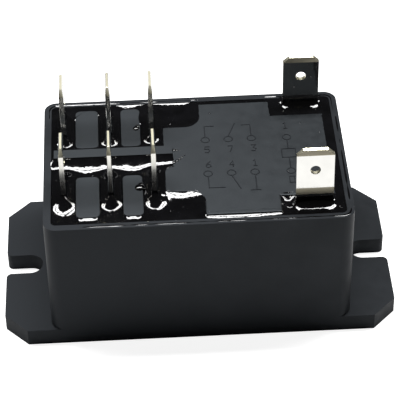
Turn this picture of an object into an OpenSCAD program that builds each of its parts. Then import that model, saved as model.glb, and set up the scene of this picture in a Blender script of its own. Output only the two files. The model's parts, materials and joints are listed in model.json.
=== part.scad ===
// Sealed two-pole power relay with mounting flanges, eight tab terminals and a hinged armature.
// Millimetres. X runs along the flanges, Y across them, Z up from the underside of the flanges.

/* [Case] */
// Length of the case body along X
case_len = 52.3; // [51:0.1:60]
// Width of the case body and of the flanges along Y
case_w = 34.2; // [33.4:0.1:42]
// Height of the case rim over the underside
case_h = 26.5; // [25.6:0.1:32]
// Radius of the upright outer corners of the body
case_corner_r = 2.2; // [1.6:0.1:3]
// Wall thickness above the ledge that carries the base plate
rim_wall = 1.3; // [1:0.05:1.5]
// Wall thickness below the ledge
side_wall = 1.9; // [1.7:0.05:2.2]
// Radius of the upright inner corners
inner_corner_r = 0.9; // [0.5:0.1:1.4]
// Thickness of the closed floor
floor_t = 1.8; // [1.2:0.1:2]
// Depth from the rim down to the ledge
ledge_depth = 4.1; // [3.8:0.1:4.6]

/* [Flanges] */
// Overall length over both flanges
flange_len = 68.7; // [68:0.1:76]
// Thickness of the flanges
flange_t = 3.3; // [2.4:0.1:5]
// Length along X of the flange corner chamfers
flange_chamfer_x = 4.0; // [2:0.1:6]
// Length along Y of the flange corner chamfers
flange_chamfer_y = 4.1; // [2:0.1:8]
// Distance between the round ends of the two mounting slots
slot_pitch = 60.33; // [60:0.01:62]
// Width of the open mounting slots
slot_w = 4.7; // [4:0.1:5.5]
// Radius of the rounded corners at the slot mouths
slot_mouth_r = 1.0; // [0.4:0.1:1.6]

/* [Base plate] */
// Thickness of the base plate under its raised areas
base_t = 2.0; // [1.6:0.1:2.4]
// Clearance between the base plate and the case walls
base_clear = 0.1; // [0.05:0.05:0.2]
// Height of the raised areas below the rim
raised_drop = 0.1; // [0:0.05:0.5]
// Offset along Y of the middle of the raised areas
raised_mid = 0.25; // [-0.5:0.05:0.5]
// Distance from the inner load tab to the raised plate
plate_gap = 1.8; // [1.4:0.1:2.4]
// Distance from the raised plate to the outside of the right end wall
plate_end_margin = 2.8; // [2.4:0.1:4]
// Mean gap between the sides of the raised plate and the case walls
plate_side_gap = 0.9; // [0.6:0.05:1.4]
// Reach along X of the two rounded bites in the plate
bite_len = 6.6; // [4:0.1:8]
// Depth of the bites from the sides of the plate
bite_depth = 6.2; // [4.5:0.1:7.5]
// Corner radius of the bites
bite_r = 2.6; // [1:0.1:3]
// Distance from the coil tabs' middle to the start of the coil tab notches
notch_reach = 5.55; // [4.5:0.1:7]
// Depth of the coil tab notches from the sides of the plate
notch_depth = 4.05; // [3.6:0.05:4.6]
// Distance from each load tab to the islands beside it
moat_half = 2.0; // [1.6:0.1:2.2]
// Distance of the islands' inner ends from the middle of the raised areas
island_inner = 3.9; // [3.4:0.1:5]
// Distance of the islands' outer ends inside the sides of the plate
island_inset = 0.6; // [0.2:0.1:1.5]
// Corner radius of the islands
island_r = 0.9; // [0.3:0.1:1.2]
// Thickness of the barrier bar between the poles
bar_t = 2.15; // [1.4:0.05:2.4]
// Height of the barrier bar over the raised areas
bar_rise = 0.9; // [0.4:0.1:2]
// Overlap of the barrier bar and the raised plate
bar_overlap = 1.6; // [0.5:0.1:2.5]
// Length of the pocket in the plate beside the front of the barrier bar
pocket_len = 4.0; // [3:0.1:5]
// Gap between the barrier bar and the left case wall
bar_end_gap = 0.5; // [0.2:0.1:0.8]
// Thickness of the inner wall between the poles
inner_wall_t = 1.4; // [1:0.1:2]
// Clearance between the inner wall and the card below it
inner_wall_clear = 1.4; // [0.6:0.1:3]

/* [Potting] */
// Depth of the epoxy level below the rim
potting_drop = 1.0; // [0.7:0.05:1.4]
// Clearance between the epoxy and the case walls
potting_clear = 0.02; // [0.01:0.01:0.05]
// Height of the epoxy collars round the tabs
collar_h = 0.7; // [0.3:0.1:1]
// Width of the epoxy collars at their foot
collar_w = 0.9; // [0.5:0.1:1.2]
// Width of the epoxy collars at their top
collar_top_w = 0.15; // [0.1:0.05:0.3]

/* [Tabs] */
// Width of the quick-connect tabs
tab_w = 6.35; // [6.2:0.05:6.4]
// Thickness of the tabs and their legs
tab_t = 0.8; // [0.7:0.05:0.9]
// Height of the tab tips over the rim
tab_rise = 10.4; // [9:0.1:12]
// Height of the front coil tab's tip over the other tips
coil_front_extra = 0.5; // [0:0.1:1]
// Corner chamfer at the tab tips
tab_chamfer = 1.1; // [0.5:0.1:1.3]
// Depth of the bevels on both faces of the tab tips
tab_bevel = 0.2; // [0.1:0.05:0.3]
// Height of the bevels on the tab tips
tab_bevel_h = 1.0; // [0.5:0.1:1.2]
// Diameter of the detent hole in each tab
detent_d = 1.75; // [1.5:0.05:2]
// Distance of the detent hole from the tab tip
detent_drop = 4.1; // [3.4:0.1:4.6]
// Clearance round the tabs in the base plate
tab_slot_clear = 0.05; // [0.02:0.01:0.1]
// Distance of the outer load tab from the outside of the left end wall
nc_inset = 3.55; // [3.3:0.05:4.5]
// Distance from the outer to the middle load tab
nc_com_pitch = 8.0; // [7.6:0.1:9]
// Distance from the middle to the inner load tab
com_no_pitch = 7.4; // [6.8:0.1:8.4]
// Distance from the front of the case to the middle of the front row of load tabs
row_front_inset = 10.85; // [10.4:0.05:11.5]
// Distance from the back of the case to the middle of the back row of load tabs
row_back_inset = 7.35; // [6.9:0.05:7.8]
// Distance of the coil tabs' middle from the outside of the right end wall
coil_inset = 6.55; // [6:0.05:7.5]
// Distance of the front coil tab's plane from the front of the case
coil_front_inset = 4.55; // [3.8:0.05:5]
// Distance of the back coil tab's plane from the back of the case
coil_back_inset = 2.9; // [2.7:0.05:4]

/* [Terminal legs] */
// Width of the legs inside the case
leg_w = 5.0; // [4.4:0.1:5.6]
// Width over the shoulders that bear on the base plate
shoulder_w = 7.6; // [7:0.1:8]
// Height of the shoulders
shoulder_h = 0.9; // [0.6:0.1:1.2]
// Inner radius of the bends
bend_r = 0.4; // [0.2:0.1:0.6]
// Distance of the leg ends below the contact line
leg_end = 1.8; // [1.7:0.1:2]
// Width of the coil tabs' tails
tail_w = 3.0; // [2.4:0.1:4]
// Length of the coil tabs' tails below the base plate
tail_len = 7.4; // [6.8:0.1:9]
// Diameter of the hole for the coil lead
lead_hole_d = 0.9; // [0.7:0.05:1.2]
// Distance of the lead hole from the end of the tail
lead_hole_up = 1.0; // [0.8:0.1:1.6]

/* [Contacts] */
// Height of the contact line over the underside
contact_z = 7.0; // [6.9:0.1:8]
// Diameter of the contact heads
contact_d = 3.4; // [2.8:0.1:3.5]
// Diameter of the contact shanks
shank_d = 1.8; // [1.4:0.1:2]
// Clearance round riveted shanks
shank_clear = 0.02; // [0.01:0.01:0.04]
// Thickness of each head of the moving contacts
moving_head_t = 1.0; // [0.8:0.05:1.2]
// Thickness of the closed-side contact heads
nc_head_t = 0.9; // [0.7:0.05:1.1]
// Height of the domed open-side contact heads
no_head_t = 1.0; // [0.8:0.05:1.2]
// Sphere radius of the domed contact heads
dome_r = 6.0; // [5:0.1:9]
// Gap that stands for touching contacts
contact_gap = 0.05; // [0.03:0.01:0.08]

/* [Moving blades] */
// Thickness of the blades
blade_t = 0.4; // [0.3:0.05:0.5]
// Width of the blades
blade_w = 5.0; // [4.4:0.1:5.6]
// Distance from the base plate down to the blade rivets
blade_hinge_drop = 2.1; // [1.9:0.05:2.3]
// Length of the blades above their rivets
blade_top = 1.5; // [1.4:0.05:1.6]
// Corner cut at the top of the blades
blade_corner = 0.8; // [0.4:0.1:1]
// Height of the blade tips over the case floor
blade_tip_gap = 0.6; // [0.4:0.1:0.9]
// Clearance on both faces of a blade at its rivet
blade_gap = 0.2; // [0.18:0.01:0.25]
// Diameter of the blade rivet heads
blade_rivet_head_d = 2.8; // [2.4:0.1:3]
// Thickness of the blade rivet heads
blade_rivet_head_t = 0.6; // [0.4:0.1:0.8]
// Diameter of the blade rivet shanks
blade_rivet_d = 1.6; // [1.2:0.1:1.8]
// Clearance round the rivet shank in the blade
blade_hole_clear = 0.08; // [0.06:0.01:0.12]
// Length of the middle terminals below the blade rivets
com_leg_end = 1.5; // [1.4:0.05:1.6]

/* [Card] */
// Thickness of the card
card_t = 1.6; // [1.2:0.1:1.8]
// Gap between the card and the rails that it slides on
card_gap = 0.1; // [0.08:0.01:0.2]
// Height of the rails on the case floor
rail_h = 1.1; // [0.9:0.05:1.2]
// Width of the rails
rail_w = 1.0; // [0.8:0.1:1.4]
// Distance of the rails from the line between the poles
rail_y = 1.6; // [1.2:0.1:1.8]
// Width of the card's stem
card_stem_w = 5.4; // [5:0.1:7]
// Width of the card's crossbar along X
card_bar_w = 3.2; // [2.8:0.1:3.4]
// Width of the material round the card's slots
card_edge = 1.1; // [0.9:0.1:1.3]
// Clearance beside a blade or the armature's tongue in the card
card_slot_clear = 0.22; // [0.2:0.01:0.3]

/* [Magnet] */
// Thickness of the yoke
yoke_t = 2.0; // [1.6:0.1:2.2]
// Length of the yoke's upper leg
yoke_len = 24.05; // [23:0.05:25]
// Clearance between the yoke and the end wall
yoke_end_gap = 0.25; // [0.1:0.05:0.4]
// Distance from the base plate down to the yoke
yoke_drop = 3.4; // [3.2:0.1:3.6]
// Height of the yoke's lower end over the case floor
yoke_foot_gap = 1.2; // [0.6:0.1:2]
// Width of the yoke's ears beside the armature
ear_w = 2.1; // [1.8:0.1:2.4]
// Length of the yoke's ears
ear_len = 1.9; // [1.7:0.1:2.2]
// Step out from the core to its pole head
pole_step = 1.5; // [0.8:0.1:2]
// Thickness of the pole head
pole_t = 1.5; // [1:0.1:2]
// Step in from the core to its riveted end
core_step = 0.5; // [0.3:0.1:0.8]
// Thickness of the armature
arm_t = 1.6; // [1.4:0.1:1.8]
// Distance of the armature's sides inside the yoke's sides
arm_inset = 1.0; // [0.5:0.1:1.5]
// Gap left between the pole and the closed armature
residual_gap = 0.1; // [0.05:0.01:0.15]
// Clearance between the armature and the yoke's end
arm_yoke_gap = 0.05; // [0.03:0.01:0.08]
// Clearance between the armature and the ears
ear_clear = 0.2; // [0.15:0.01:0.3]
// Swing of the armature in degrees
arm_swing = 5.5; // [4.5:0.1:5.5]
// Height of the armature's shoulders over the yoke
arm_shoulder_gap = 0.25; // [0.2:0.01:0.3]
// Height of the armature's shoulders
arm_shoulder_h = 0.8; // [0.6:0.1:0.9]
// Width of the armature's tail
arm_tail_w = 4.0; // [3:0.1:5]
// Height of the armature's tail over the yoke
arm_tail_h = 2.8; // [2.7:0.05:2.9]
// Width of the tongue that reaches through the card
tongue_w = 3.0; // [2.4:0.1:3.4]
// Length of the tongue below the card
tongue_reach = 0.3; // [0.2:0.1:0.5]
// Length of the tongue above the card
tongue_neck = 1.0; // [0.8:0.1:1.6]

/* [Coil] */
// Gap between the bobbin and the yoke over it
coil_top_gap = 0.2; // [0.1:0.05:0.5]
// Gap between the bobbin and the case floor
coil_floor_gap = 1.0; // [0.4:0.1:1.6]
// Thickness of the bobbin's flanges
bobbin_flange_t = 1.2; // [0.8:0.1:1.6]
// Corner radius of the bobbin's flanges
bobbin_flange_r = 2.0; // [1:0.1:3]
// Wall thickness of the bobbin's tube
bobbin_wall = 0.9; // [0.6:0.1:1.2]
// Clearance between the bobbin and the core
bobbin_clear = 0.1; // [0.05:0.01:0.15]
// Gap between the bobbin and the iron at both ends
bobbin_end_gap = 0.1; // [0.05:0.01:0.2]
// Distance from the edge of the bobbin's flanges in to the winding
winding_inset = 0.7; // [0.3:0.1:1.5]
// Diameter of the core as a share of the winding's diameter
core_share = 0.48; // [0.4:0.01:0.52]
// Width of one visible wire layer in the winding
wire_pitch = 0.8; // [0.6:0.05:1.2]
// Depth of the grooves between the turns
wire_groove = 0.15; // [0.05:0.01:0.2]
// Clearance between the winding and the bobbin
winding_clear = 0.04; // [0.02:0.01:0.08]
// Diameter of the coil leads
lead_d = 0.4; // [0.3:0.05:0.5]
// Radius of the bend where a lead enters its tail
lead_bend_r = 1.2; // [0.8:0.1:1.4]
// Length of lead that stands out behind the tail
lead_stub = 0.35; // [0.2:0.05:0.4]

/* [Return spring] */
// Outer diameter of the spring
spring_d = 2.4; // [2:0.1:2.5]
// Diameter of the spring's wire
spring_wire_d = 0.35; // [0.25:0.05:0.4]
// Number of turns
spring_turns = 9; // [7:1:11]
// Height of the spring's axis over the yoke
spring_rise = 1.7; // [1.6:0.05:1.8]
// Distance from the yoke's end to the first turn
spring_start = 2.2; // [2:0.1:3]
// Length of the coiled part
spring_len = 8.0; // [7:0.1:9]
// Diameter of the hole in the armature's tail
hook_hole_d = 1.0; // [0.9:0.05:1.1]
// Diameter of the lug that holds the spring's right end
lug_d = 1.4; // [1.2:0.1:1.6]
// Height of the lug over the yoke
lug_h = 2.6; // [2.4:0.1:2.8]
// Distance from the coiled part to the lug's axis
lug_reach = 2.2; // [2:0.1:2.6]

/* [Staking posts] */
// Diameter of the spacer between the base plate and the yoke
spacer_d = 4.8; // [4:0.1:5]
// Diameter of the post through the yoke
post_d = 3.0; // [2.4:0.1:3.2]
// Clearance of the post in the yoke
post_clear = 0.05; // [0.03:0.01:0.1]
// Diameter of the staked head
stake_d = 4.2; // [4:0.1:4.6]
// Thickness of the staked head
stake_t = 0.7; // [0.5:0.1:0.9]
// Distance of the posts' middles inside the yoke's sides
post_edge = 1.6; // [1.5:0.1:2]
// Distance of the posts from the yoke's right end
post_inset = 13; // [11:0.1:14]

/* [Hidden] */
$fn = 64;

BLACK_PLASTIC = [0.13, 0.14, 0.16];
GREY_PLASTIC = [0.24, 0.25, 0.26];
BLACK_EPOXY = [0.03, 0.03, 0.04];
TIN = [0.80, 0.79, 0.75];
SILVER = [0.86, 0.86, 0.84];
SPRING_COPPER = [0.78, 0.50, 0.33];
COIL_COPPER = [0.72, 0.36, 0.19];
BRASS = [0.78, 0.62, 0.30];
IRON = [0.58, 0.58, 0.60];
IVORY = [0.88, 0.85, 0.76];

// More than any size here, for cuts that run out of a solid
past = 1;

// Levels, from the bottom up
rail_top = floor_t + rail_h;
card_z0 = rail_top + card_gap;
card_mid_z = card_z0 + card_t / 2;
card_z1 = card_z0 + card_t;
base_z0 = case_h - ledge_depth;
base_z1 = base_z0 + base_t;
epoxy_z = case_h - potting_drop;
raised_z = case_h - raised_drop;
tab_z = case_h + tab_rise;
coil_front_z = tab_z + coil_front_extra;
blade_hinge_z = base_z0 - blade_hinge_drop;
yoke_z1 = base_z0 - yoke_drop;
yoke_z0 = yoke_z1 - yoke_t;
bobbin_flange = yoke_z0 - coil_top_gap - coil_floor_gap - floor_t;
core_z = yoke_z0 - coil_top_gap - bobbin_flange / 2;

// Places along X
nc_x = -case_len / 2 + nc_inset;
com_x = nc_x + nc_com_pitch;
no_x = com_x + com_no_pitch;
coil_x = case_len / 2 - coil_inset;
plate_x0 = no_x + plate_gap;
plate_x1 = case_len / 2 - plate_end_margin;
yoke_x1 = case_len / 2 - side_wall - yoke_end_gap;
yoke_x0 = yoke_x1 - yoke_len;
pole_x = yoke_x0 - arm_yoke_gap + residual_gap;
hinge_x = yoke_x0 - arm_yoke_gap;
blade_x = com_x - tab_t / 2 - blade_gap - blade_t / 2;

// Places along Y
row_front = -case_w / 2 + row_front_inset;
row_back = case_w / 2 - row_back_inset;
pole_mid = (row_front + row_back) / 2;
row_offset = (row_back - row_front) / 2;
coil_front_y = -case_w / 2 + coil_front_inset;
coil_back_y = case_w / 2 - coil_back_inset;
plate_half_w = case_w / 2 - rim_wall - plate_side_gap;
bite_y = plate_half_w - bite_depth;
notch_y = plate_half_w - notch_depth;
island_len = plate_half_w - island_inset - island_inner;
island_y = island_inner + island_len / 2;

// The armature's tongue moves the card, and the card moves the blades
arm_reach = yoke_z1 - card_mid_z;
card_travel = arm_reach * tan(arm_swing) + arm_t / 2 * (1 / cos(arm_swing) - 1);
tongue_x = hinge_x - arm_t / 2 - card_travel;
blade_swing = atan(card_travel / (blade_hinge_z - card_mid_z));

// Fixed contacts: the flat one touches at rest, the domed one at the end of the travel
moving_face = blade_t / 2 + moving_head_t;
nc_face_x = blade_x - moving_face - contact_gap;
nc_leg_x = nc_face_x - nc_head_t - tab_t / 2;
contact_arm = blade_hinge_z - contact_z;
dome_x = blade_x
    + (moving_face + dome_r + contact_gap + contact_arm * sin(blade_swing)) / cos(blade_swing);
no_leg_x = dome_x - dome_r + no_head_t + tab_t / 2;

// Coil between the pole head and the yoke's right leg, as wide as the yoke over it
bobbin_x0 = pole_x + pole_t + bobbin_end_gap;
bobbin_x1 = yoke_x1 - yoke_t - bobbin_end_gap;
winding_x0 = bobbin_x0 + bobbin_flange_t + winding_clear;
winding_x1 = bobbin_x1 - bobbin_flange_t - winding_clear;
winding_r = bobbin_flange / 2 - winding_inset;
core_d = core_share * 2 * winding_r;
tube_r = core_d / 2 + bobbin_clear + bobbin_wall;
pole_d = core_d + 2 * pole_step;
core_rivet_d = core_d - 2 * core_step;
yoke_w = bobbin_flange;
arm_w = yoke_w - 2 * arm_inset;
post_y = yoke_w / 2 - post_edge;

// Return spring over the yoke
spring_z = yoke_z1 + spring_rise;
spring_x0 = yoke_x0 + spring_start;
spring_x1 = spring_x0 + spring_len;
lug_x = spring_x1 + lug_reach;
post_x = yoke_x1 - post_inset;

// Points of an arc in the plane of two axes
function arc(centre, r, axis_a, axis_b, from, to, steps) = [
    for (i = [0:steps])
        let (angle = from + (to - from) * i / steps)
        centre + r * (cos(angle) * axis_a + sin(angle) * axis_b)
];

// Rectangle with round corners, centred
module rounded_rect(size_x, size_y, r) {
    square([size_x - 2 * r, size_y], center = true);
    square([size_x, size_y - 2 * r], center = true);
    for (sx = [-1, 1], sy = [-1, 1])
        translate([sx * (size_x / 2 - r), sy * (size_y / 2 - r)])
            circle(r = r);
}

// Rectangle with round corners, given by two opposite corners
module rounded_rect_at(low, high, r) {
    size = high - low;
    translate((low + high) / 2)
        rounded_rect(size[0], size[1], r);
}

// Draws a profile in the XZ plane and gives it a width along Y
module along_y(width, mid) {
    translate([0, mid + width / 2, 0])
        rotate([90, 0, 0])
            linear_extrude(height = width)
                children();
}

// Draws a profile in the YZ plane and gives it a thickness along X
module along_x(thickness, mid) {
    translate([mid - thickness / 2, 0, 0])
        rotate([90, 0, 90])
            linear_extrude(height = thickness)
                children();
}

// Cylinder along X from x0 to x1
module rod_x(x0, x1, d, y, z) {
    translate([x0, y, z])
        rotate([0, 90, 0])
            cylinder(d = d, h = x1 - x0);
}

// One flange plate with both open slots
module flange_outline() {
    end_x = flange_len / 2;
    side_y = case_w / 2;
    slot_x = slot_pitch / 2;
    mouth = slot_w / 2 + slot_mouth_r;
    difference() {
        polygon([
            [-end_x, -side_y + flange_chamfer_y], [-end_x + flange_chamfer_x, -side_y],
            [end_x - flange_chamfer_x, -side_y], [end_x, -side_y + flange_chamfer_y],
            [end_x, side_y - flange_chamfer_y], [end_x - flange_chamfer_x, side_y],
            [-end_x + flange_chamfer_x, side_y], [-end_x, side_y - flange_chamfer_y]
        ]);
        for (side = [-1, 1]) {
            translate([side * slot_x, 0])
                circle(d = slot_w);
            translate([side * (slot_x + end_x + past) / 2, 0])
                square([end_x + past - slot_x, slot_w], center = true);
            translate([side * (end_x - slot_mouth_r / 2 + past / 2), 0])
                square([slot_mouth_r + past, 2 * mouth], center = true);
        }
    }
    for (sx = [-1, 1], sy = [-1, 1])
        translate([sx * (end_x - slot_mouth_r), sy * mouth])
            circle(r = slot_mouth_r);
}

module case() {
    rail_x0 = blade_x + card_bar_w / 2 + card_travel;
    rail_x1 = tongue_x - arm_t;
    color(BLACK_PLASTIC) {
        difference() {
            union() {
                linear_extrude(height = flange_t)
                    flange_outline();
                linear_extrude(height = case_h)
                    rounded_rect(case_len, case_w, case_corner_r);
            }
            translate([0, 0, floor_t])
                linear_extrude(height = case_h)
                    rounded_rect(case_len - 2 * side_wall, case_w - 2 * side_wall, inner_corner_r);
            translate([0, 0, base_z0])
                linear_extrude(height = case_h)
                    rounded_rect(case_len - 2 * rim_wall, case_w - 2 * rim_wall, inner_corner_r);
        }
        for (side = [-1, 1])
            translate([rail_x0, pole_mid + side * rail_y - rail_w / 2, floor_t - past / 2])
                cube([rail_x1 - rail_x0, rail_w, rail_h + past / 2]);
    }
}

// Raised plate with its two bites and the two coil tab notches
module plate_outline() {
    mid = raised_mid;
    bite_x = plate_x0 + bite_len;
    notch_x = coil_x - notch_reach;
    difference() {
        translate([plate_x0, mid - plate_half_w])
            square([plate_x1 - plate_x0, 2 * plate_half_w]);
        for (side = [-1, 1]) {
            translate([0, mid])
                scale_y(side)
                    rounded_rect_at([plate_x0 - 2 * bite_r, bite_y], [bite_x, case_w], bite_r);
            translate([notch_x, mid + (side > 0 ? notch_y : -notch_y - case_w)])
                square([case_len, case_w]);
        }
        bar_pocket();
    }
}

// Pocket beside the front of the barrier bar, which rounds off the plate's corner
module bar_pocket() {
    corner_y = pole_mid - bar_t / 2 - pocket_len;
    difference() {
        translate([plate_x0 - past, corner_y])
            square([bar_overlap + past, pocket_len]);
        translate([plate_x0 + bar_overlap, corner_y])
            circle(r = bar_overlap);
    }
}

// Keeps a shape, or mirrors it across the X axis
module scale_y(side) {
    mirror([0, side < 0 ? 1 : 0])
        children();
}

// Islands between the load tabs
module island_outlines() {
    spans = [[nc_x + moat_half, com_x - moat_half], [com_x + moat_half, no_x - moat_half]];
    for (span = spans, side = [-1, 1])
        translate([(span[0] + span[1]) / 2, raised_mid + side * island_y])
            rounded_rect(span[1] - span[0], island_len, island_r);
}

// Barrier bar between the poles
module bar_outline() {
    bar_x0 = -case_len / 2 + rim_wall + bar_end_gap;
    bar_x1 = plate_x0 + bar_overlap;
    translate([bar_x0, pole_mid - bar_t / 2])
        square([bar_x1 - bar_x0, bar_t]);
}

// Cross-sections of all eight tabs, grown by a clearance
module tab_sections(grow) {
    for (x = [nc_x, com_x, no_x], y = [row_front, row_back])
        translate([x, y])
            square([tab_t + 2 * grow, tab_w + 2 * grow], center = true);
    for (y = [coil_front_y, coil_back_y])
        translate([coil_x, y])
            square([tab_w + 2 * grow, tab_t + 2 * grow], center = true);
}

module base() {
    plate_len = case_len - 2 * (rim_wall + base_clear);
    plate_w = case_w - 2 * (rim_wall + base_clear);
    wall_x0 = -case_len / 2 + side_wall + base_clear;
    wall_x1 = no_x - tab_t;
    wall_z0 = card_z1 + inner_wall_clear;
    color(GREY_PLASTIC) {
        difference() {
            union() {
                translate([0, 0, base_z0])
                    linear_extrude(height = base_t)
                        rounded_rect(plate_len, plate_w, inner_corner_r - base_clear);
                translate([0, 0, base_z0])
                    linear_extrude(height = raised_z - base_z0) {
                        plate_outline();
                        island_outlines();
                    }
                translate([0, 0, base_z0])
                    linear_extrude(height = raised_z + bar_rise - base_z0)
                        bar_outline();
            }
            translate([0, 0, base_z0 - past])
                linear_extrude(height = case_h)
                    tab_sections(tab_slot_clear);
        }
        translate([wall_x0, pole_mid - inner_wall_t / 2, wall_z0])
            cube([wall_x1 - wall_x0, inner_wall_t, base_z0 + past - wall_z0]);
        for (side = [-1, 1])
            translate([post_x, pole_mid + side * post_y, 0]) {
                translate([0, 0, yoke_z1])
                    cylinder(d = spacer_d, h = base_z0 + past - yoke_z1);
                translate([0, 0, yoke_z0 - stake_t])
                    cylinder(d = post_d, h = base_z0 - yoke_z0);
                translate([0, 0, yoke_z0 - stake_t])
                    cylinder(d = stake_d, h = stake_t);
            }
    }
}

// Sloping collar of epoxy round one tab section
module collar(size_x, size_y) {
    low_x = size_x / 2 + collar_w;
    low_y = size_y / 2 + collar_w;
    top_x = size_x / 2 + collar_top_w;
    top_y = size_y / 2 + collar_top_w;
    translate([0, 0, epoxy_z])
        intersection() {
            along_y(2 * low_y, 0)
                polygon([[-low_x, 0], [low_x, 0], [top_x, collar_h], [-top_x, collar_h]]);
            along_x(2 * low_x, 0)
                polygon([[-low_y, 0], [low_y, 0], [top_y, collar_h], [-top_y, collar_h]]);
        }
}

module potting() {
    pool_len = case_len - 2 * (rim_wall + potting_clear);
    pool_w = case_w - 2 * (rim_wall + potting_clear);
    color(BLACK_EPOXY)
        difference() {
            union() {
                translate([0, 0, base_z1])
                    linear_extrude(height = epoxy_z - base_z1)
                        rounded_rect(pool_len, pool_w, inner_corner_r - potting_clear);
                for (x = [nc_x, com_x, no_x], y = [row_front, row_back])
                    translate([x, y, 0])
                        collar(tab_t, tab_w);
                for (y = [coil_front_y, coil_back_y])
                    translate([coil_x, y, 0])
                        collar(tab_w, tab_t);
            }
            translate([0, 0, base_z1 - past])
                linear_extrude(height = case_h) {
                    plate_outline();
                    island_outlines();
                    bar_outline();
                    tab_sections(0);
                }
        }
}

// What a terminal's blank loses on both sides, seen along its thickness
module beside_terminal(leg_width, leg_z, tip_z = tab_z) {
    half = tab_w / 2;
    far = shoulder_w;
    shoulder_z = base_z0 - shoulder_h;
    for (side = [0, 1])
        mirror([side, 0])
            polygon([
                [leg_width / 2, leg_z - past], [leg_width / 2, shoulder_z],
                [shoulder_w / 2, shoulder_z], [shoulder_w / 2, base_z0], [half, base_z0],
                [half, tip_z - tab_chamfer], [half - tab_chamfer - past, tip_z + past],
                [far, tip_z + past], [far, leg_z - past]
            ]);
}

// Edge of a straight terminal, with the bevels at its tip
module terminal_edge(end_z, tip_z = tab_z) {
    half = tab_t / 2;
    polygon([
        [-half, end_z], [-half, tip_z - tab_bevel_h], [-half + tab_bevel, tip_z],
        [half - tab_bevel, tip_z], [half, tip_z - tab_bevel_h], [half, end_z]
    ]);
}

// Edge of a terminal that steps sideways below the base plate, from its tab at x 0 to its leg at reach
module stepped_edge(reach, end_z) {
    half = tab_t / 2;
    outer_r = bend_r + tab_t;
    high = [half + bend_r, base_z0 - shoulder_h];
    low = [reach - half - bend_r, high[1] - outer_r - bend_r];
    steps = 6;
    polygon(concat(
        [[-half, tab_z - tab_bevel_h]],
        arc(high, outer_r, [1, 0], [0, 1], 180, 270, steps),
        arc(low, bend_r, [1, 0], [0, 1], 90, 0, steps),
        [[reach - half, end_z], [reach + half, end_z]],
        arc(low, outer_r, [1, 0], [0, 1], 0, 90, steps),
        arc(high, bend_r, [1, 0], [0, 1], 270, 180, steps),
        [[half, tab_z - tab_bevel_h], [half - tab_bevel, tab_z], [-half + tab_bevel, tab_z]]
    ));
}

// Load terminal whose leg stands beside its tab and carries a fixed contact
module stepped_terminal(tab_x, leg_x, row_y) {
    end_z = contact_z - leg_end;
    color(TIN)
        difference() {
            along_y(shoulder_w, row_y)
                translate([tab_x, 0])
                    mirror([leg_x < tab_x ? 1 : 0, 0])
                        stepped_edge(abs(leg_x - tab_x), end_z);
            translate([0, row_y, 0])
                along_x(2 * case_len, 0)
                    beside_terminal(leg_w, end_z);
            rod_x(tab_x - past, tab_x + past, detent_d, row_y, tab_z - detent_drop);
            rod_x(leg_x - past, leg_x + past, shank_d + 2 * shank_clear, row_y, contact_z);
        }
}

// Middle load terminal, straight, with the hole for the blade rivet
module com_terminal(row_y) {
    end_z = blade_hinge_z - com_leg_end;
    color(TIN)
        difference() {
            translate([com_x, 0, 0])
                along_y(shoulder_w, row_y)
                    terminal_edge(end_z);
            translate([0, row_y, 0])
                along_x(2 * past, com_x)
                    beside_terminal(leg_w, end_z);
            rod_x(com_x - past, com_x + past, detent_d, row_y, tab_z - detent_drop);
            rod_x(com_x - past, com_x + past, blade_rivet_d + 2 * shank_clear, row_y, blade_hinge_z);
        }
}

// Coil terminal, turned a quarter against the load tabs
module coil_terminal(plane_y, tip_z) {
    end_z = base_z0 - tail_len;
    color(TIN)
        translate([coil_x, plane_y, 0])
            rotate([0, 0, 90])
                difference() {
                    along_y(shoulder_w, 0)
                        terminal_edge(end_z, tip_z);
                    along_x(2 * past, 0)
                        beside_terminal(tail_w, end_z, tip_z);
                    rod_x(-past, past, detent_d, 0, tip_z - detent_drop);
                    rod_x(-past, past, lead_hole_d, 0, end_z + lead_hole_up);
                }
}

// Flat contact of the closed side, riveted through its leg
module nc_contact(row_y) {
    color(SILVER) {
        rod_x(nc_face_x - nc_head_t, nc_face_x, contact_d, row_y, contact_z);
        rod_x(nc_leg_x - tab_t, nc_face_x, shank_d, row_y, contact_z);
    }
}

// Domed contact of the open side, riveted through its leg
module no_contact(row_y) {
    head_x1 = dome_x - dome_r + no_head_t;
    color(SILVER) {
        intersection() {
            translate([dome_x, row_y, contact_z])
                sphere(r = dome_r);
            rod_x(dome_x - dome_r - past, head_x1, contact_d, row_y, contact_z);
        }
        rod_x(head_x1 - no_head_t / 2, no_leg_x + tab_t, shank_d, row_y, contact_z);
    }
}

// Leaf spring with its rivet hole and its contact hole
module moving_blade(row_y) {
    tip_z = floor_t + blade_tip_gap;
    top_z = blade_hinge_z + blade_top;
    half = blade_w / 2;
    color(SPRING_COPPER)
        difference() {
            translate([0, row_y, 0])
                along_x(blade_t, blade_x)
                    polygon([
                        [-half, tip_z], [-half, top_z - blade_corner], [-half + blade_corner, top_z],
                        [half - blade_corner, top_z], [half, top_z - blade_corner], [half, tip_z]
                    ]);
            rod_x(blade_x - past, blade_x + past, blade_rivet_d + 2 * blade_hole_clear, row_y, blade_hinge_z);
            rod_x(blade_x - past, blade_x + past, shank_d + 2 * shank_clear, row_y, contact_z);
        }
}

// Contact rivet with a flat head on each side of the blade
module moving_contact(row_y) {
    color(SILVER) {
        for (side = [-1, 1])
            rod_x(
                blade_x + side * (blade_t / 2 + moving_head_t / 2) - moving_head_t / 2,
                blade_x + side * (blade_t / 2 + moving_head_t / 2) + moving_head_t / 2,
                contact_d, row_y, contact_z
            );
        rod_x(blade_x - moving_face, blade_x + moving_face, shank_d, row_y, contact_z);
    }
}

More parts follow.
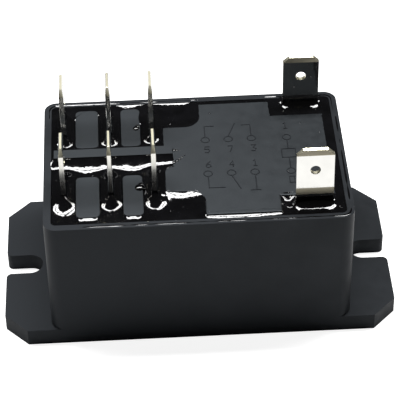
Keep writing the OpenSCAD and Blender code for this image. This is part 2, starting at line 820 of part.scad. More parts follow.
// Rivet that holds a blade on its terminal
module blade_rivet(row_y) {
    head_x = blade_x - blade_t / 2 - blade_gap;
    end_x = com_x + tab_t / 2;
    color(BRASS) {
        rod_x(head_x - blade_rivet_head_t, head_x, blade_rivet_head_d, row_y, blade_hinge_z);
        rod_x(head_x - past / 2, end_x + blade_rivet_head_t, blade_rivet_d, row_y, blade_hinge_z);
        rod_x(end_x, end_x + blade_rivet_head_t, blade_rivet_head_d, row_y, blade_hinge_z);
    }
}

module card() {
    bar_half = row_offset + blade_w / 2 + card_slot_clear + card_edge;
    stem_x1 = tongue_x + arm_t / 2 + card_slot_clear + card_edge;
    blade_slot = blade_t + 2 * card_slot_clear;
    tongue_slot = arm_t + 2 * card_slot_clear;
    color(IVORY)
        translate([0, 0, card_z0])
            difference() {
                linear_extrude(height = card_t)
                    difference() {
                        union() {
                            translate([blade_x, pole_mid])
                                rounded_rect(card_bar_w, 2 * bar_half, card_edge);
                            rounded_rect_at(
                                [blade_x - card_bar_w / 2, pole_mid - card_stem_w / 2],
                                [stem_x1, pole_mid + card_stem_w / 2], card_edge
                            );
                        }
                        for (y = [row_front, row_back])
                            translate([blade_x, y])
                                square([blade_slot, blade_w + 2 * card_slot_clear], center = true);
                        translate([tongue_x, pole_mid])
                            square([tongue_slot, tongue_w + 2 * card_slot_clear], center = true);
                    }
            }
}

// Outline of the armature seen along X, about the line between the poles
module armature_outline() {
    waist = yoke_w / 2 - ear_w - ear_clear;
    body_z1 = yoke_z0 - arm_shoulder_gap;
    shoulder_z = yoke_z1 + arm_shoulder_gap;
    body_z0 = card_z1 + tongue_neck;
    translate([-arm_w / 2, body_z0])
        square([arm_w, body_z1 - body_z0]);
    translate([-waist, body_z0])
        square([2 * waist, shoulder_z + arm_shoulder_h - body_z0]);
    translate([-arm_w / 2, shoulder_z])
        square([arm_w, arm_shoulder_h]);
    translate([-arm_tail_w / 2, shoulder_z])
        square([arm_tail_w, yoke_z1 + arm_tail_h - shoulder_z]);
    translate([-tongue_w / 2, card_z0 - tongue_reach])
        square([tongue_w, body_z0 + past - card_z0]);
}

module armature() {
    color(IRON)
        translate([hinge_x, pole_mid, yoke_z1])
            rotate([0, arm_swing, 0])
                translate([0, 0, -yoke_z1])
                    difference() {
                        along_x(arm_t, -arm_t / 2)
                            armature_outline();
                        rod_x(-arm_t - past, past, hook_hole_d, 0, spring_z);
                    }
}

// Edge of the bent yoke seen along Y
module yoke_edge() {
    inner_r = bend_r;
    outer_r = inner_r + yoke_t;
    foot_z = floor_t + yoke_foot_gap;
    translate([yoke_x0, yoke_z0])
        square([yoke_len - outer_r, yoke_t]);
    translate([yoke_x1 - yoke_t, foot_z])
        square([yoke_t, yoke_z1 - outer_r - foot_z]);
    translate([yoke_x1 - outer_r, yoke_z1 - outer_r])
        intersection() {
            difference() {
                circle(r = outer_r);
                circle(r = inner_r);
            }
            square(outer_r + past);
        }
}

module yoke() {
    color(IRON) {
        difference() {
            along_y(yoke_w, pole_mid)
                yoke_edge();
            for (side = [-1, 1])
                translate([post_x, pole_mid + side * post_y, yoke_z0 - past])
                    cylinder(d = post_d + 2 * post_clear, h = yoke_t + 2 * past);
            rod_x(yoke_x1 - yoke_t - past, yoke_x1 + past, core_rivet_d + 2 * shank_clear, pole_mid, core_z);
        }
        for (side = [-1, 1])
            translate([yoke_x0 - ear_len, pole_mid + side * (yoke_w - ear_w) / 2 - ear_w / 2, yoke_z0])
                cube([ear_len + past, ear_w, yoke_t]);
        translate([lug_x, pole_mid, yoke_z0 + yoke_t / 2])
            cylinder(d = lug_d, h = yoke_t / 2 + lug_h);
    }
}

module core() {
    color(IRON) {
        rod_x(pole_x, pole_x + pole_t, pole_d, pole_mid, core_z);
        rod_x(pole_x, yoke_x1 - yoke_t, core_d, pole_mid, core_z);
        rod_x(pole_x, yoke_x1, core_rivet_d, pole_mid, core_z);
    }
}

module bobbin() {
    color(IVORY)
        difference() {
            union() {
                for (x = [bobbin_x0, bobbin_x1 - bobbin_flange_t])
                    translate([0, pole_mid, core_z])
                        along_x(bobbin_flange_t, x + bobbin_flange_t / 2)
                            rounded_rect(bobbin_flange, bobbin_flange, bobbin_flange_r);
                rod_x(bobbin_x0, bobbin_x1, 2 * tube_r, pole_mid, core_z);
            }
            rod_x(bobbin_x0 - past, bobbin_x1 + past, core_d + 2 * bobbin_clear, pole_mid, core_z);
        }
}

// Half section of the winding: a groove between each two turns of the outer layer
module winding_section() {
    length = winding_x1 - winding_x0;
    turns = floor(length / wire_pitch);
    pitch = length / turns;
    inner_r = tube_r + winding_clear;
    crests = [
        for (i = [0:turns - 1], part = [0:1])
            part == 0
                ? [winding_r - wire_groove, i * pitch]
                : [winding_r, (i + 0.5) * pitch]
    ];
    polygon(concat([[inner_r, 0]], crests, [[winding_r - wire_groove, length], [inner_r, length]]));
}

module winding() {
    color(COIL_COPPER)
        translate([winding_x0, pole_mid, core_z])
            rotate([0, 90, 0])
                rotate_extrude()
                    winding_section();
}

function unit(v) = v / norm(v);

// Direction of a path at point i
function heading(path, i) =
    unit(path[min(i + 1, len(path) - 1)] - path[max(i - 1, 0)]);

// A side vector turned as little as possible from one ring to the next
function carried(side, direction) = unit(side - (side * direction) * direction);

// Round wire along a path of points, as one closed tube
module wire(path, d, first_side, sides = 6) {
    count = len(path);
    across = [
        for (i = 0, s = carried(first_side, heading(path, 0));
            i < count;
            i = i + 1, s = carried(s, heading(path, min(i, count - 1))))
            s
    ];
    rings = [
        for (i = [0:count - 1], k = [0:sides - 1])
            path[i] + d / 2 * (
                cos(k * 360 / sides) * across[i]
                + sin(k * 360 / sides) * cross(heading(path, i), across[i])
            )
    ];
    walls = [
        for (i = [0:count - 2], k = [0:sides - 1], half = [0:1])
            let (
                a = i * sides + k,
                b = i * sides + (k + 1) % sides
            )
            half == 0 ? [a, a + sides, b] : [b, a + sides, b + sides]
    ];
    first_end = [for (k = [0:sides - 1]) k];
    last_end = [for (k = [sides - 1:-1:0]) (count - 1) * sides + k];
    polyhedron(points = rings, faces = concat([first_end, last_end], walls));
}

module return_spring() {
    coil_r = (spring_d - spring_wire_d) / 2;
    steps_per_turn = 14;
    steps = spring_turns * steps_per_turn;
    tail_x = hinge_x - arm_t * cos(arm_swing) + spring_rise * sin(arm_swing);
    hook_x = tail_x - spring_wire_d;
    hook_rise = arm_tail_h - spring_rise - spring_wire_d;
    loop_r = (lug_d + spring_wire_d) / 2 + contact_gap;
    mid = [0, pole_mid, spring_z];
    hook = [
        mid + [hook_x, 0, hook_rise], mid + [hook_x, 0, hook_rise / 2],
        mid + [hook_x + spring_wire_d / 4, 0, spring_wire_d / 4],
        mid + [hook_x + spring_wire_d, 0, 0], mid + [spring_x0 - 2 * coil_r, 0, 0],
        mid + [spring_x0 - coil_r, 0, 0], mid + [spring_x0 - coil_r / 2, 0, coil_r / 2]
    ];
    coil = [
        for (i = [0:steps])
            mid + [
                spring_x0 + spring_len * i / steps,
                coil_r * sin(i * 360 / steps_per_turn),
                coil_r * cos(i * 360 / steps_per_turn)
            ]
    ];
    run_out = [mid + [spring_x1 + coil_r / 2, coil_r / 2, coil_r / 2]];
    loop_start = 20;
    loop_end = 320;
    loop_steps = 12;
    loop = arc(
        [lug_x, pole_mid, spring_z], loop_r, [-1, 0, 0], [0, 1, 0], loop_start, loop_end, loop_steps
    );
    color(SILVER)
        wire(concat(hook, coil, run_out, loop), spring_wire_d, [0, 1, 0]);
}

// Lead from the side of the winding up to the hole in a coil tab's tail
module coil_lead(plane_y) {
    side = plane_y > pole_mid ? 1 : -1;
    hole_z = base_z0 - tail_len + lead_hole_up;
    start_y = pole_mid + side * (winding_r + lead_d / 2 + contact_gap);
    end_y = plane_y + side * (tab_t / 2 + lead_stub);
    bow = lead_bend_r;
    bend_steps = 5;
    rise = hole_z - core_z;
    color(COIL_COPPER)
        wire(
            concat(
                [[coil_x - bow, start_y, core_z - bow], [coil_x - bow, start_y, core_z]],
                [[coil_x - bow / 2, start_y, core_z + rise / 3], [coil_x, start_y, core_z + rise * 2 / 3]],
                arc(
                    [coil_x, start_y + side * bow, hole_z - bow], bow, [0, -side, 0], [0, 0, 1],
                    0, 90, bend_steps
                ),
                [[coil_x, end_y, hole_z]]
            ),
            lead_d, [1, 0, 0]
        );
}

case();
base();
potting();
stepped_terminal(nc_x, nc_leg_x, row_front);  // nc_terminal_front
stepped_terminal(nc_x, nc_leg_x, row_back);  // nc_terminal_back
com_terminal(row_front);  // com_terminal_front
com_terminal(row_back);  // com_terminal_back
stepped_terminal(no_x, no_leg_x, row_front);  // no_terminal_front
stepped_terminal(no_x, no_leg_x, row_back);  // no_terminal_back
coil_terminal(coil_front_y, coil_front_z);  // coil_terminal_front
coil_terminal(coil_back_y, tab_z);  // coil_terminal_back
nc_contact(row_front);  // nc_contact_front
nc_contact(row_back);  // nc_contact_back
no_contact(row_front);  // no_contact_front
no_contact(row_back);  // no_contact_back
moving_blade(row_front);  // moving_blade_front
moving_blade(row_back);  // moving_blade_back
moving_contact(row_front);  // moving_contact_front
moving_contact(row_back);  // moving_contact_back
blade_rivet(row_front);  // blade_rivet_front
blade_rivet(row_back);  // blade_rivet_back
card();
armature();
yoke();
core();
bobbin();
winding();
return_spring();
coil_lead(coil_front_y);  // coil_lead_front
coil_lead(coil_back_y);  // coil_lead_back
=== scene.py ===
import json
import math

import bmesh
import bpy
import numpy as np
from mathutils import Matrix, Vector, noise
from mathutils.geometry import delaunay_2d_cdt
from mathutils.kdtree import KDTree

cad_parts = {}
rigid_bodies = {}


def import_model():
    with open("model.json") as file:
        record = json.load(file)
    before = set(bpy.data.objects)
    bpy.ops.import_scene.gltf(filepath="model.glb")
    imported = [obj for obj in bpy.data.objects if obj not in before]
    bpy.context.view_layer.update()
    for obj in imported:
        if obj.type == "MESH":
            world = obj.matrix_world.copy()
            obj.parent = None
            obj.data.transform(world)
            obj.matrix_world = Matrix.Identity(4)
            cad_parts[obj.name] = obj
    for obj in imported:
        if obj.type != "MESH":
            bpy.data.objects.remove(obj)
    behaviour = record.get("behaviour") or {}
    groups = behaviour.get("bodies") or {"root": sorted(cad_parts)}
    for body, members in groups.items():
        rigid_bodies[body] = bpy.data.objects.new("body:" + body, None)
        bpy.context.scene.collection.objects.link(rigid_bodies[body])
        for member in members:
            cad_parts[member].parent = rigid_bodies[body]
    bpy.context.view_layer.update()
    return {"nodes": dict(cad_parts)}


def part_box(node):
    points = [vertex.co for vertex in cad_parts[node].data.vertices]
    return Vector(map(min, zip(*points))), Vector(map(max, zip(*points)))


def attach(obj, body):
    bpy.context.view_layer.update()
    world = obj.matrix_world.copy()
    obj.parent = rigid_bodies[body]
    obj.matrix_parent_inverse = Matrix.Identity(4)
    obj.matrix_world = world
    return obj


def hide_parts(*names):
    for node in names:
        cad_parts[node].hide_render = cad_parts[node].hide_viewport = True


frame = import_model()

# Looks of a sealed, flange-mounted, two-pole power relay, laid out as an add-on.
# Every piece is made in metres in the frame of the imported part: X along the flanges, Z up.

bl_info = {
    "name": "Flange-mounted power relay",
    "version": (1, 0, 0),
    "blender": (4, 5, 0),
    "location": "View3D > Sidebar > Relay",
    "description": "Dresses the packed power relay: rounded edges, epoxy, coil, marks and finishes",
    "category": "Object",
}

MM = 0.001

# How far the barrier bar and the collars stand above the raised plate
BAR_OVER_PLATE = 0.9 * MM

# Heights of the raised plate, the epoxy's foot and the case rim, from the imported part
PLATE_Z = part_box("base")[1].z - BAR_OVER_PLATE
EPOXY_FOOT_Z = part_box("potting")[0].z
RIM_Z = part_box("case")[1].z

# An outline that spans less than this is a tab's
TAB_AREA = 10 * MM ** 2

# How far the epoxy climbs and then creeps over a top, in millimetres: at the front, sides and back
PLATE_RISES, PLATE_CREEPS = (1.3, 0.8, 0.7), (0.7, 0.2, 0.1)
ISLAND_RISES, ISLAND_CREEPS = (0.9, 0.55, 0.38), (0.0, 0.0, 0.0)

# Places in millimetres where the epoxy creeps farther over a top, or less far: X, Y, reach, creep
LOBES = (
    (-20.6, 14.55, 1.3, 1.1), (-16.6, 14.55, 0.8, 0.4), (-9.2, 12.0, 1.2, 0.35), (-2.5, -8.45, 3.0, -0.45),
)

# Tabs to the right of this X are the coil's
COIL_TABS_X = 14 * MM

# Corners of the barrier bar in plan, the plate's left edge, which the bar overlaps, and its middle
BAR_LOW = Vector((-24.35, 0.675)) * MM
BAR_HIGH = Vector((-3.8, 2.825)) * MM
PLATE_X, PLATE_MID_X = -5.4 * MM, 6.8 * MM

# Where the pocket in the plate starts in front of the bar, and its width
POCKET_START, POCKET_WIDTH = 1.25 * MM, 1.5 * MM

# The rim's outer edges lie this far outside the epoxy's wall, or beyond this X
RIM_MARGIN, RIM_END_X = 0.5 * MM, 25.5 * MM

# Angle from which an edge of the CAD is rounded, angle under which two faces are one flat face, steps
# across a rounding, and distance under which two places are the same
SHARP_ANGLE, FLAT_ANGLE = math.radians(30), math.radians(0.5)
ROUND_STEPS = 3
MERGE = 1e-6

LOAD_TABS = (
    "nc_terminal_front", "com_terminal_front", "no_terminal_front",
    "nc_terminal_back", "com_terminal_back", "no_terminal_back",
)
COIL_TABS = ("coil_terminal_front", "coil_terminal_back")

# This tab leans back and has a band painted darker: a painted reflection of the rim
LEANING_TAB = COIL_TABS[0]

# An upright edge of a tab is longer than this, and at least this share of it goes up
UPRIGHT_LENGTH, UPRIGHT_SHARE = 2 * MM, 0.9

# How much of a face's normal goes sideways or up if it is a tab's side, and up if it is at the tip
SIDE_SHARE, TIP_SHARE = 0.5, 0.3


# Properties


def length(label, text, value, low=0.0, high=100.0):
    """A length in metres, given in millimetres"""
    return bpy.props.FloatProperty(
        name=label, description=text, default=value * MM, min=low * MM, max=high * MM,
        unit="LENGTH", precision=5,
    )


def colour(label, text, value):
    """A linear colour"""
    return bpy.props.FloatVectorProperty(
        name=label, description=text, default=value, min=0.0, max=1.0, size=3, subtype="COLOR",
    )


def share(label, text, value, low=0.0, high=1.0):
    """A plain number, such as a roughness"""
    return bpy.props.FloatProperty(name=label, description=text, default=value, min=low, max=high)


def angle(label, text, degrees):
    """An angle, given in degrees"""
    return bpy.props.FloatProperty(
        name=label, description=text, default=math.radians(degrees), subtype="ANGLE",
    )


def count(label, text, value):
    """A whole number"""
    return bpy.props.IntProperty(name=label, description=text, default=value, min=0)


class RelaySizes(bpy.types.PropertyGroup):
    """Sizes of the finish, which the CAD leaves open"""

    case_edge: length("Case edge radius", "Rounding of the case's moulded edges", 0.25)
    rim_edge: length("Rim edge radius", "Rounding of the case rim's outer edge", 0.6)
    rim_inner_edge: length("Rim inner radius", "Rounding of the case rim's inner edge", 0.5)
    plate_edge: length("Plate edge radius", "Rounding of the plate's top edges", 0.9)
    island_edge: length("Island edge radius", "Rounding of the islands' top edges", 0.25)
    bar_edge: length("Bar edge radius", "Rounding of the barrier bar and the collars", 0.14)
    tab_edge: length("Tab edge radius", "Rounding of the stamped tabs", 0.08)
    tab_side: length("Tab side radius", "Rounding of the long upright edges of the tabs", 0.22)
    coin_height: length("Coined tip", "Height of the coined band at the tips of the coil tabs", 1.15)
    coin_depth: length("Coin depth", "How far the coined band draws in at the tip", 0.14)
    tip_fall: length("Fall of the tip", "How much lower a coil tab's tip is at its front", 0.14)
    tip_width: length("Width of the tip", "Thickness of a coil tab at its very top", 0.5)
    metal_edge: length("Inner metal edge radius", "Rounding of the iron, rivets and contacts", 0.07)
    card_edge: length("Inner moulding edge radius", "Rounding of the card and the bobbin", 0.12)
    coil_tab_lean: angle("Front coil tab lean", "How far the front coil tab leans back", 3.0)
    epoxy_level: length("Epoxy level", "Height of the epoxy far from anything it wets", 25.5)
    epoxy_tilt: angle("Epoxy tilt", "How much the epoxy's level rises to the back", 0.7)
    epoxy_reach: length("Meniscus reach", "Distance over which the epoxy climbs", 1.8)
    front_wall: length("Epoxy at the front wall", "Height of the epoxy at the front wall", 26.05)
    back_wall: length("Epoxy at the back wall", "Height of the epoxy at the back wall", 26.56)
    plate_dip: length("Dip behind the plate", "How much lower the epoxy stands behind the plate", 0.12)
    front_dip: length("Dip in front of the plate", "How much lower it stands in front of the plate", 0.28)
    dip_length: length("Dip length", "How far those dips reach to the left and right", 6.5)
    rim_wet: length("Wetted rim", "Width of the back rim that the epoxy covers", 0.5)
    bar_climb: length("Climb at the bar", "Rise of the epoxy at the barrier bar's front", 1.75)
    tab_climb: length("Climb at the tabs", "Rise of the epoxy at the tabs", 2.2)
    side_climb: share("Climb at coil tab sides", "Share of that rise at the coil tabs' narrow sides", 0.35)
    heap_ease: length("Heap ease", "How far out a heap of epoxy would run level", 5.2)
    # Between these two heights the front coil tab is painted darker: a painted reflection of the rim
    rim_shade_low: length("Dull band from", "Start of the front coil tab's dull band above the epoxy", 2.8)
    rim_shade_high: length("Dull band to", "End of the front coil tab's dull band above the epoxy", 4.1)
    film: length("Film on the rim", "Thickness of the epoxy smeared over the rim's front edge", 0.03)
    epoxy_mesh: length("Epoxy mesh", "Spacing of the epoxy surface's points", 0.15)
    epoxy_seed: count("Epoxy seed", "Seed of the epoxy's unevenness and bubbles", 7)
    bubble_size: length("Bubble radius", "Radius of the largest bubbles in the epoxy", 0.16)
    bubble_count: count("Bubbles", "Number of small bubbles along the epoxy's edges", 26)
    mark_width: length("Mark width", "Width of the raised lines of the wiring diagram", 0.2)
    wire_size: length("Coil wire", "Diameter of the winding's enamelled wire", 0.22)


class RelayFinish(bpy.types.PropertyGroup):
    """Colours and roughness of the finishes"""

    case_colour: colour("Case plastic", "Black moulded plastic", (0.0158, 0.0172, 0.0196))
    case_rough: share("Case roughness", "Roughness of the case plastic", 0.44)
    case_shine: share("Case shine", "Specular level of the case plastic", 0.18)
    base_colour: colour("Base plastic", "Dark grey moulded plastic", (0.0055, 0.0063, 0.0074))
    base_rough: share("Base roughness", "Roughness of the textured base plastic", 0.42)
    base_shine: share("Base shine", "Specular level of the base plastic", 0.5)
    epoxy_colour: colour("Epoxy", "Black potting epoxy", (0.0025, 0.0025, 0.003))
    epoxy_rough: share("Epoxy roughness", "Roughness of the cured epoxy", 0.05)
    tin_colour: colour("Tin", "Bright tinned brass", (0.93, 0.92, 0.88))
    tin_edge: colour("Tab edge", "Tint of the stamped edges of the tabs", (0.90, 0.86, 0.66))
    tin_rough: share("Tin roughness", "Roughness of the tinned tabs", 0.09)
    cut_rough: share("Cut edge roughness", "Roughness of the stamped edges of the tabs", 0.4)
    side_cut: share("Upright cut edges", "How much of that roughness the upright edges have", 0.15)
    # The coined colour also paints the front coil tab's band darker, as a painted reflection of the rim
    coin_colour: colour("Coined tin", "Worn tin of the coined tips", (0.50, 0.46, 0.35))
    coin_rough: share("Coined roughness", "Roughness of the coined tips", 0.38)
    silver_colour: colour("Contact silver", "Silver alloy of the contacts", (0.88, 0.87, 0.84))
    blade_colour: colour("Blade copper", "Spring copper of the moving blades", (0.86, 0.50, 0.33))
    brass_colour: colour("Rivet brass", "Brass of the blade rivets", (0.82, 0.64, 0.30))
    card_colour: colour("Card plastic", "Ivory plastic of the card", (0.74, 0.69, 0.56))
    bobbin_colour: colour("Bobbin plastic", "Ivory plastic of the bobbin", (0.70, 0.66, 0.55))
    iron_colour: colour("Iron", "Nickel-plated iron of the magnet", (0.60, 0.60, 0.60))
    wire_colour: colour("Coil copper", "Enamelled copper wire", (0.72, 0.28, 0.12))
    spring_colour: colour("Spring steel", "Wire of the return spring", (0.66, 0.66, 0.66))


class RelayStage(bpy.types.PropertyGroup):
    """Camera, floor and light"""

    lens: bpy.props.FloatProperty(
        name="Lens", description="Focal length on a 36 mm sensor", default=167.862,
        subtype="DISTANCE_CAMERA",
    )
    floor_radius: length("Floor radius", "Radius of the white floor", 150.0, 0.0, 10000.0)
    floor_fill: share("Floor fill", "Light that the floor shows the camera of its own", 0.88)
    sky: share("Studio light", "Brightness of the dark studio round the light box", 0.035)
    box_glow: share("Light box glow", "Radiance of the light box", 18.0, 0.0, 1000.0)
    box_away: length("Light box distance", "Distance of the light box from the part", 1000.0, 0.0, 5000.0)
    box_tilt: angle("Light box tilt", "How far behind the zenith the light box stands", 15.5)
    box_wide: length("Light box width", "Size of the light box along X", 1500.0, 0.0, 5000.0)
    box_deep: length("Light box depth", "Depth of each of the light box's two panes", 128.0, 0.0, 5000.0)
    box_gap: length("Light box gap", "Dark gap between the light box's two panes", 50.0, 0.0, 5000.0)


# Node trees


# The first of the two inputs, and the output, of a mix node for numbers and for colours
MIX_SOCKETS = {"FLOAT": (2, 0), "RGBA": (6, 2)}


class Nodes:
    """A node tree that is built one node at a time; a node stands for its first output"""

    def __init__(self, tree):
        self.tree = tree
        tree.nodes.clear()

    def feed(self, socket, value):
        """Links a socket to a node or to another socket, or sets its value"""
        if isinstance(value, bpy.types.Node):
            value = value.outputs[0]
        if isinstance(value, bpy.types.NodeSocket):
            self.tree.links.new(value, socket)
        else:
            socket.default_value = (*value, 1.0) if socket.type == "RGBA" else value

    def node(self, kind, settings=None, first=(), **inputs):
        """Adds a node, and feeds its first sockets in turn and others by name, with underscores"""
        made = self.tree.nodes.new(kind)
        for key, value in (settings or {}).items():
            setattr(made, key, value)
        for socket, value in zip(made.inputs, first):
            self.feed(socket, value)
        for key, value in inputs.items():
            self.feed(made.inputs[key.replace("_", " ")], value)
        return made

    def maths(self, operation, *values):
        """One step of arithmetic"""
        return self.node("ShaderNodeMath", {"operation": operation}, values)

    def spread(self, source, low, high, start=0.3, end=0.7):
        """Maps a range of values, by default a noise's, to another range"""
        return self.node("ShaderNodeMapRange", None, (source, start, end, low, high))

    def mix(self, factor, first, second, kind="RGBA"):
        """Mixes two colours, or two numbers, by a factor"""
        made = self.node("ShaderNodeMix", {"data_type": kind}, (factor,))
        start, output = MIX_SOCKETS[kind]
        self.feed(made.inputs[start], first)
        self.feed(made.inputs[start + 1], second)
        return made.outputs[output]


# Finishes: each function returns one material


class Finish(Nodes):
    """A material with a Principled shader"""

    def __init__(self, name):
        self.material = bpy.data.materials.new(name)
        self.material.use_nodes = True
        super().__init__(self.material.node_tree)
        self.shader = self.node("ShaderNodeBsdfPrincipled")
        self.node("ShaderNodeOutputMaterial", Surface=self.shader)
        spot = self.node("ShaderNodeTexCoord").outputs["Object"]
        self.place = self.node("ShaderNodeVectorMath", {"operation": "SCALE"}, (spot,), Scale=1 / MM)

    def set(self, **inputs):
        """Feeds sockets of the shader"""
        for key, value in inputs.items():
            self.feed(self.shader.inputs[key.replace("_", " ")], value)

    def noise(self, per_mm, detail=3.0, stretch=(1, 1, 1)):
        """Noise with a scale in cycles per millimetre"""
        mapped = self.node("ShaderNodeMapping", Vector=self.place, Scale=stretch)
        return self.node("ShaderNodeTexNoise", Vector=mapped, Scale=per_mm, Detail=detail)

    def clouds(self, per_mm, dark, light, detail=3.0):
        """A tone that drifts between two colours"""
        return self.mix(self.spread(self.noise(per_mm, detail), 0, 1), dark, light)

    def bump(self, source, depth_mm):
        """Adds a bump to those before it"""
        made = self.node("ShaderNodeBump", Strength=1.0, Distance=depth_mm * MM, Height=source)
        normal = self.shader.inputs["Normal"]
        if normal.is_linked:
            self.feed(made.inputs["Normal"], normal.links[0].from_socket)
        self.feed(normal, made)


# The cool cast of what the moulded plastics mirror, where their painted light, a paler colour on the left
# that stands in for brighter light there, runs out to the right, and how much paler it makes them
SHEEN_TINT = (0.84, 0.93, 1.0)
PAINTED_LIGHT_REACH = 25.0
PAINTED_LIGHT_LIFT = 4


def times(tint, factor):
    """A colour made lighter or darker"""
    return tuple(min(1.0, channel * factor) for channel in tint)


def moulded_plastic(name, tint, rough, grain_per_mm, grain_mm, cloud=0.2, specular=0.5, painted_light=0.0):
    """Moulded plastic: cloudy tone, uneven gloss, the fine grain of the mould, and painted light: paler and
    rougher towards the left
    """
    finish = Finish(name)
    x_mm = finish.node("ShaderNodeSeparateXYZ", None, (finish.place,))
    painted_light_share = finish.spread(x_mm, 1.0, 0.0, -PAINTED_LIGHT_REACH, PAINTED_LIGHT_REACH)
    cloudy = finish.clouds(0.16, times(tint, 1 - cloud), times(tint, 1 + cloud), 4.0)
    gloss = finish.spread(finish.noise(0.5), rough - 0.05, rough + 0.06)
    # Painted light: the colour turns paler towards the left, standing in for brighter light there
    finish.set(
        Base_Color=finish.mix(painted_light_share, cloudy, times(tint, 1 + PAINTED_LIGHT_LIFT * painted_light)),
        Roughness=finish.mix(painted_light_share, gloss, rough + painted_light, "FLOAT"),
        Specular_IOR_Level=specular, Specular_Tint=SHEEN_TINT,
    )
    finish.bump(finish.noise(grain_per_mm, 2.0), grain_mm)
    return finish.material


def potting_epoxy(name, tint, rough):
    """Cured black epoxy: glossy, with faint waves and a slightly uneven gloss"""
    finish = Finish(name)
    finish.set(
        Base_Color=finish.clouds(0.4, times(tint, 0.7), times(tint, 1.6)),
        Roughness=finish.spread(finish.noise(1.2), rough * 0.6, rough * 1.5), IOR=1.75,
    )
    finish.bump(finish.noise(0.9, 2.0), 0.03)
    return finish.material


def stamped_tin(name, tones):
    """Bright tin plate: drawn scratches, uneven gloss, yellowish cut edges, worn coined tips, and a darker
    band on the leaning tab that is a painted reflection of the rim
    """
    finish = Finish(name)
    tint, rough = tones.tin_colour, tones.tin_rough
    edge, coined_tip_and_rim_shade = (
        finish.node("ShaderNodeAttribute", {"attribute_name": mark}).outputs["Fac"]
        for mark in ("cut_edge", "coined")
    )
    streaks = finish.noise(3.0, 4.0, (1, 1, 0.12))
    gloss = finish.spread(streaks, rough * 0.7, rough * 1.6)
    sheared = finish.mix(finish.maths("SQRT", edge), gloss, tones.cut_rough, "FLOAT")
    face = finish.clouds(0.5, times(tint, 0.93), tint)
    # The coined mark also covers the leaning tab's band, where the darker colour is a painted reflection of
    # the rim
    finish.set(
        Base_Color=finish.mix(coined_tip_and_rim_shade, finish.mix(edge, face, tones.tin_edge), tones.coin_colour),
        Roughness=finish.mix(coined_tip_and_rim_shade, sheared, tones.coin_rough, "FLOAT"), Metallic=1.0,
    )
    finish.bump(streaks, 0.004)
    finish.bump(finish.noise(0.35, 1.0), 0.02)
    return finish.material


def plain_metal(name, tint, rough, stretch=(1, 1, 1)):
    """Metal with fine drawing marks and a slightly clouded tone"""
    finish = Finish(name)
    marks = finish.noise(5.0, 3.0, stretch)
    finish.set(
        Base_Color=finish.clouds(0.6, times(tint, 0.85), tint, 4.0),
        Roughness=finish.spread(marks, rough * 0.75, rough * 1.35), Metallic=1.0,
    )
    finish.bump(marks, 0.004)
    return finish.material


def enamelled_wire(name, tint):
    """Copper under clear enamel"""
    finish = Finish(name)
    finish.set(
        Base_Color=finish.clouds(0.8, times(tint, 0.7), times(tint, 1.1)),
        Roughness=finish.spread(finish.noise(2.0), 0.22, 0.4),
        Metallic=0.85, Coat_Weight=0.6, Coat_Roughness=0.12,
    )
    return finish.material


def finish_of(slot):
    """The material of one of the record's slots, made on first use"""
    if slot in bpy.data.materials and bpy.data.materials[slot].get("relay"):
        return bpy.data.materials[slot]
    tones = bpy.context.scene.relay_finish
    # The last number of the case and base plastics is their painted light: how much paler they are painted
    # towards the left
    makers = {
        "case_plastic": (
            moulded_plastic, tones.case_colour, tones.case_rough, 7.0, 0.010, 0.2, tones.case_shine, 0.06),
        "base_plastic": (
            moulded_plastic, tones.base_colour, tones.base_rough, 5.0, 0.022, 0.2, tones.base_shine, 0.18),
        "epoxy": (potting_epoxy, tones.epoxy_colour, tones.epoxy_rough),
        "tinned_brass": (stamped_tin, tones),
        "contact_silver": (plain_metal, tones.silver_colour, 0.28),
        "blade_copper": (plain_metal, tones.blade_colour, 0.3, (1, 1, 0.1)),
        "rivet_brass": (plain_metal, tones.brass_colour, 0.3),
        "card_plastic": (moulded_plastic, tones.card_colour, 0.45, 4.0, 0.008, 0.05),
        "iron": (plain_metal, tones.iron_colour, 0.36, (0.15, 1, 1)),
        "bobbin_plastic": (moulded_plastic, tones.bobbin_colour, 0.42, 4.0, 0.008, 0.05),
        "coil_copper": (enamelled_wire, tones.wire_colour),
        "spring_steel": (plain_metal, tones.spring_colour, 0.25),
    }
    maker, *values = makers[slot]
    material = maker(slot, *values)
    material["relay"] = True
    return material


# Meshes


def merged_copy(node):
    """A CAD node's mesh as a bmesh with its doubles merged and its flat faces joined"""
    bm = bmesh.new()
    bm.from_mesh(frame["nodes"][node].data)
    bmesh.ops.remove_doubles(bm, verts=bm.verts, dist=MERGE)
    bmesh.ops.dissolve_limit(bm, angle_limit=FLAT_ANGLE, verts=bm.verts, edges=bm.edges)
    return bm


def placed(name, data):
    """A new object in the scene"""
    made = bpy.data.objects.new(name, data)
    bpy.context.scene.collection.objects.link(made)
    return made


def is_sharp(edge):
    return len(edge.link_faces) == 2 and edge.calc_face_angle() > SHARP_ANGLE


def rounded_mesh(bm, radius_of, name):
    """A mesh with its sharp edges rounded, each by a radius of its own, and flat faces kept flat"""
    radii = [radius_of(edge) if is_sharp(edge) else 0.0 for edge in bm.edges]
    mesh = as_mesh(bm, name)
    widest = max(radii)
    weights = mesh.attributes.new("bevel_weight_edge", "FLOAT", "EDGE")
    weights.data.foreach_set("value", [radius / widest for radius in radii])
    source = placed(name + "_source", mesh)
    bevel = source.modifiers.new("rounding", "BEVEL")
    bevel.limit_method = "WEIGHT"
    bevel.offset_type = "OFFSET"
    bevel.width = widest
    bevel.segments = ROUND_STEPS
    mesh = evaluated_mesh(source)
    source.modifiers.clear()
    source.data = smooth_by_angle(mesh)
    source.modifiers.new("flat_faces", "WEIGHTED_NORMAL").keep_sharp = True
    mesh = evaluated_mesh(source)
    bpy.data.objects.remove(source)
    mesh.name = name
    return mesh


def evaluated_mesh(source):
    """A plain mesh of an object with its modifiers applied"""
    graph = bpy.context.evaluated_depsgraph_get()
    return bpy.data.meshes.new_from_object(source.evaluated_get(graph), depsgraph=graph)


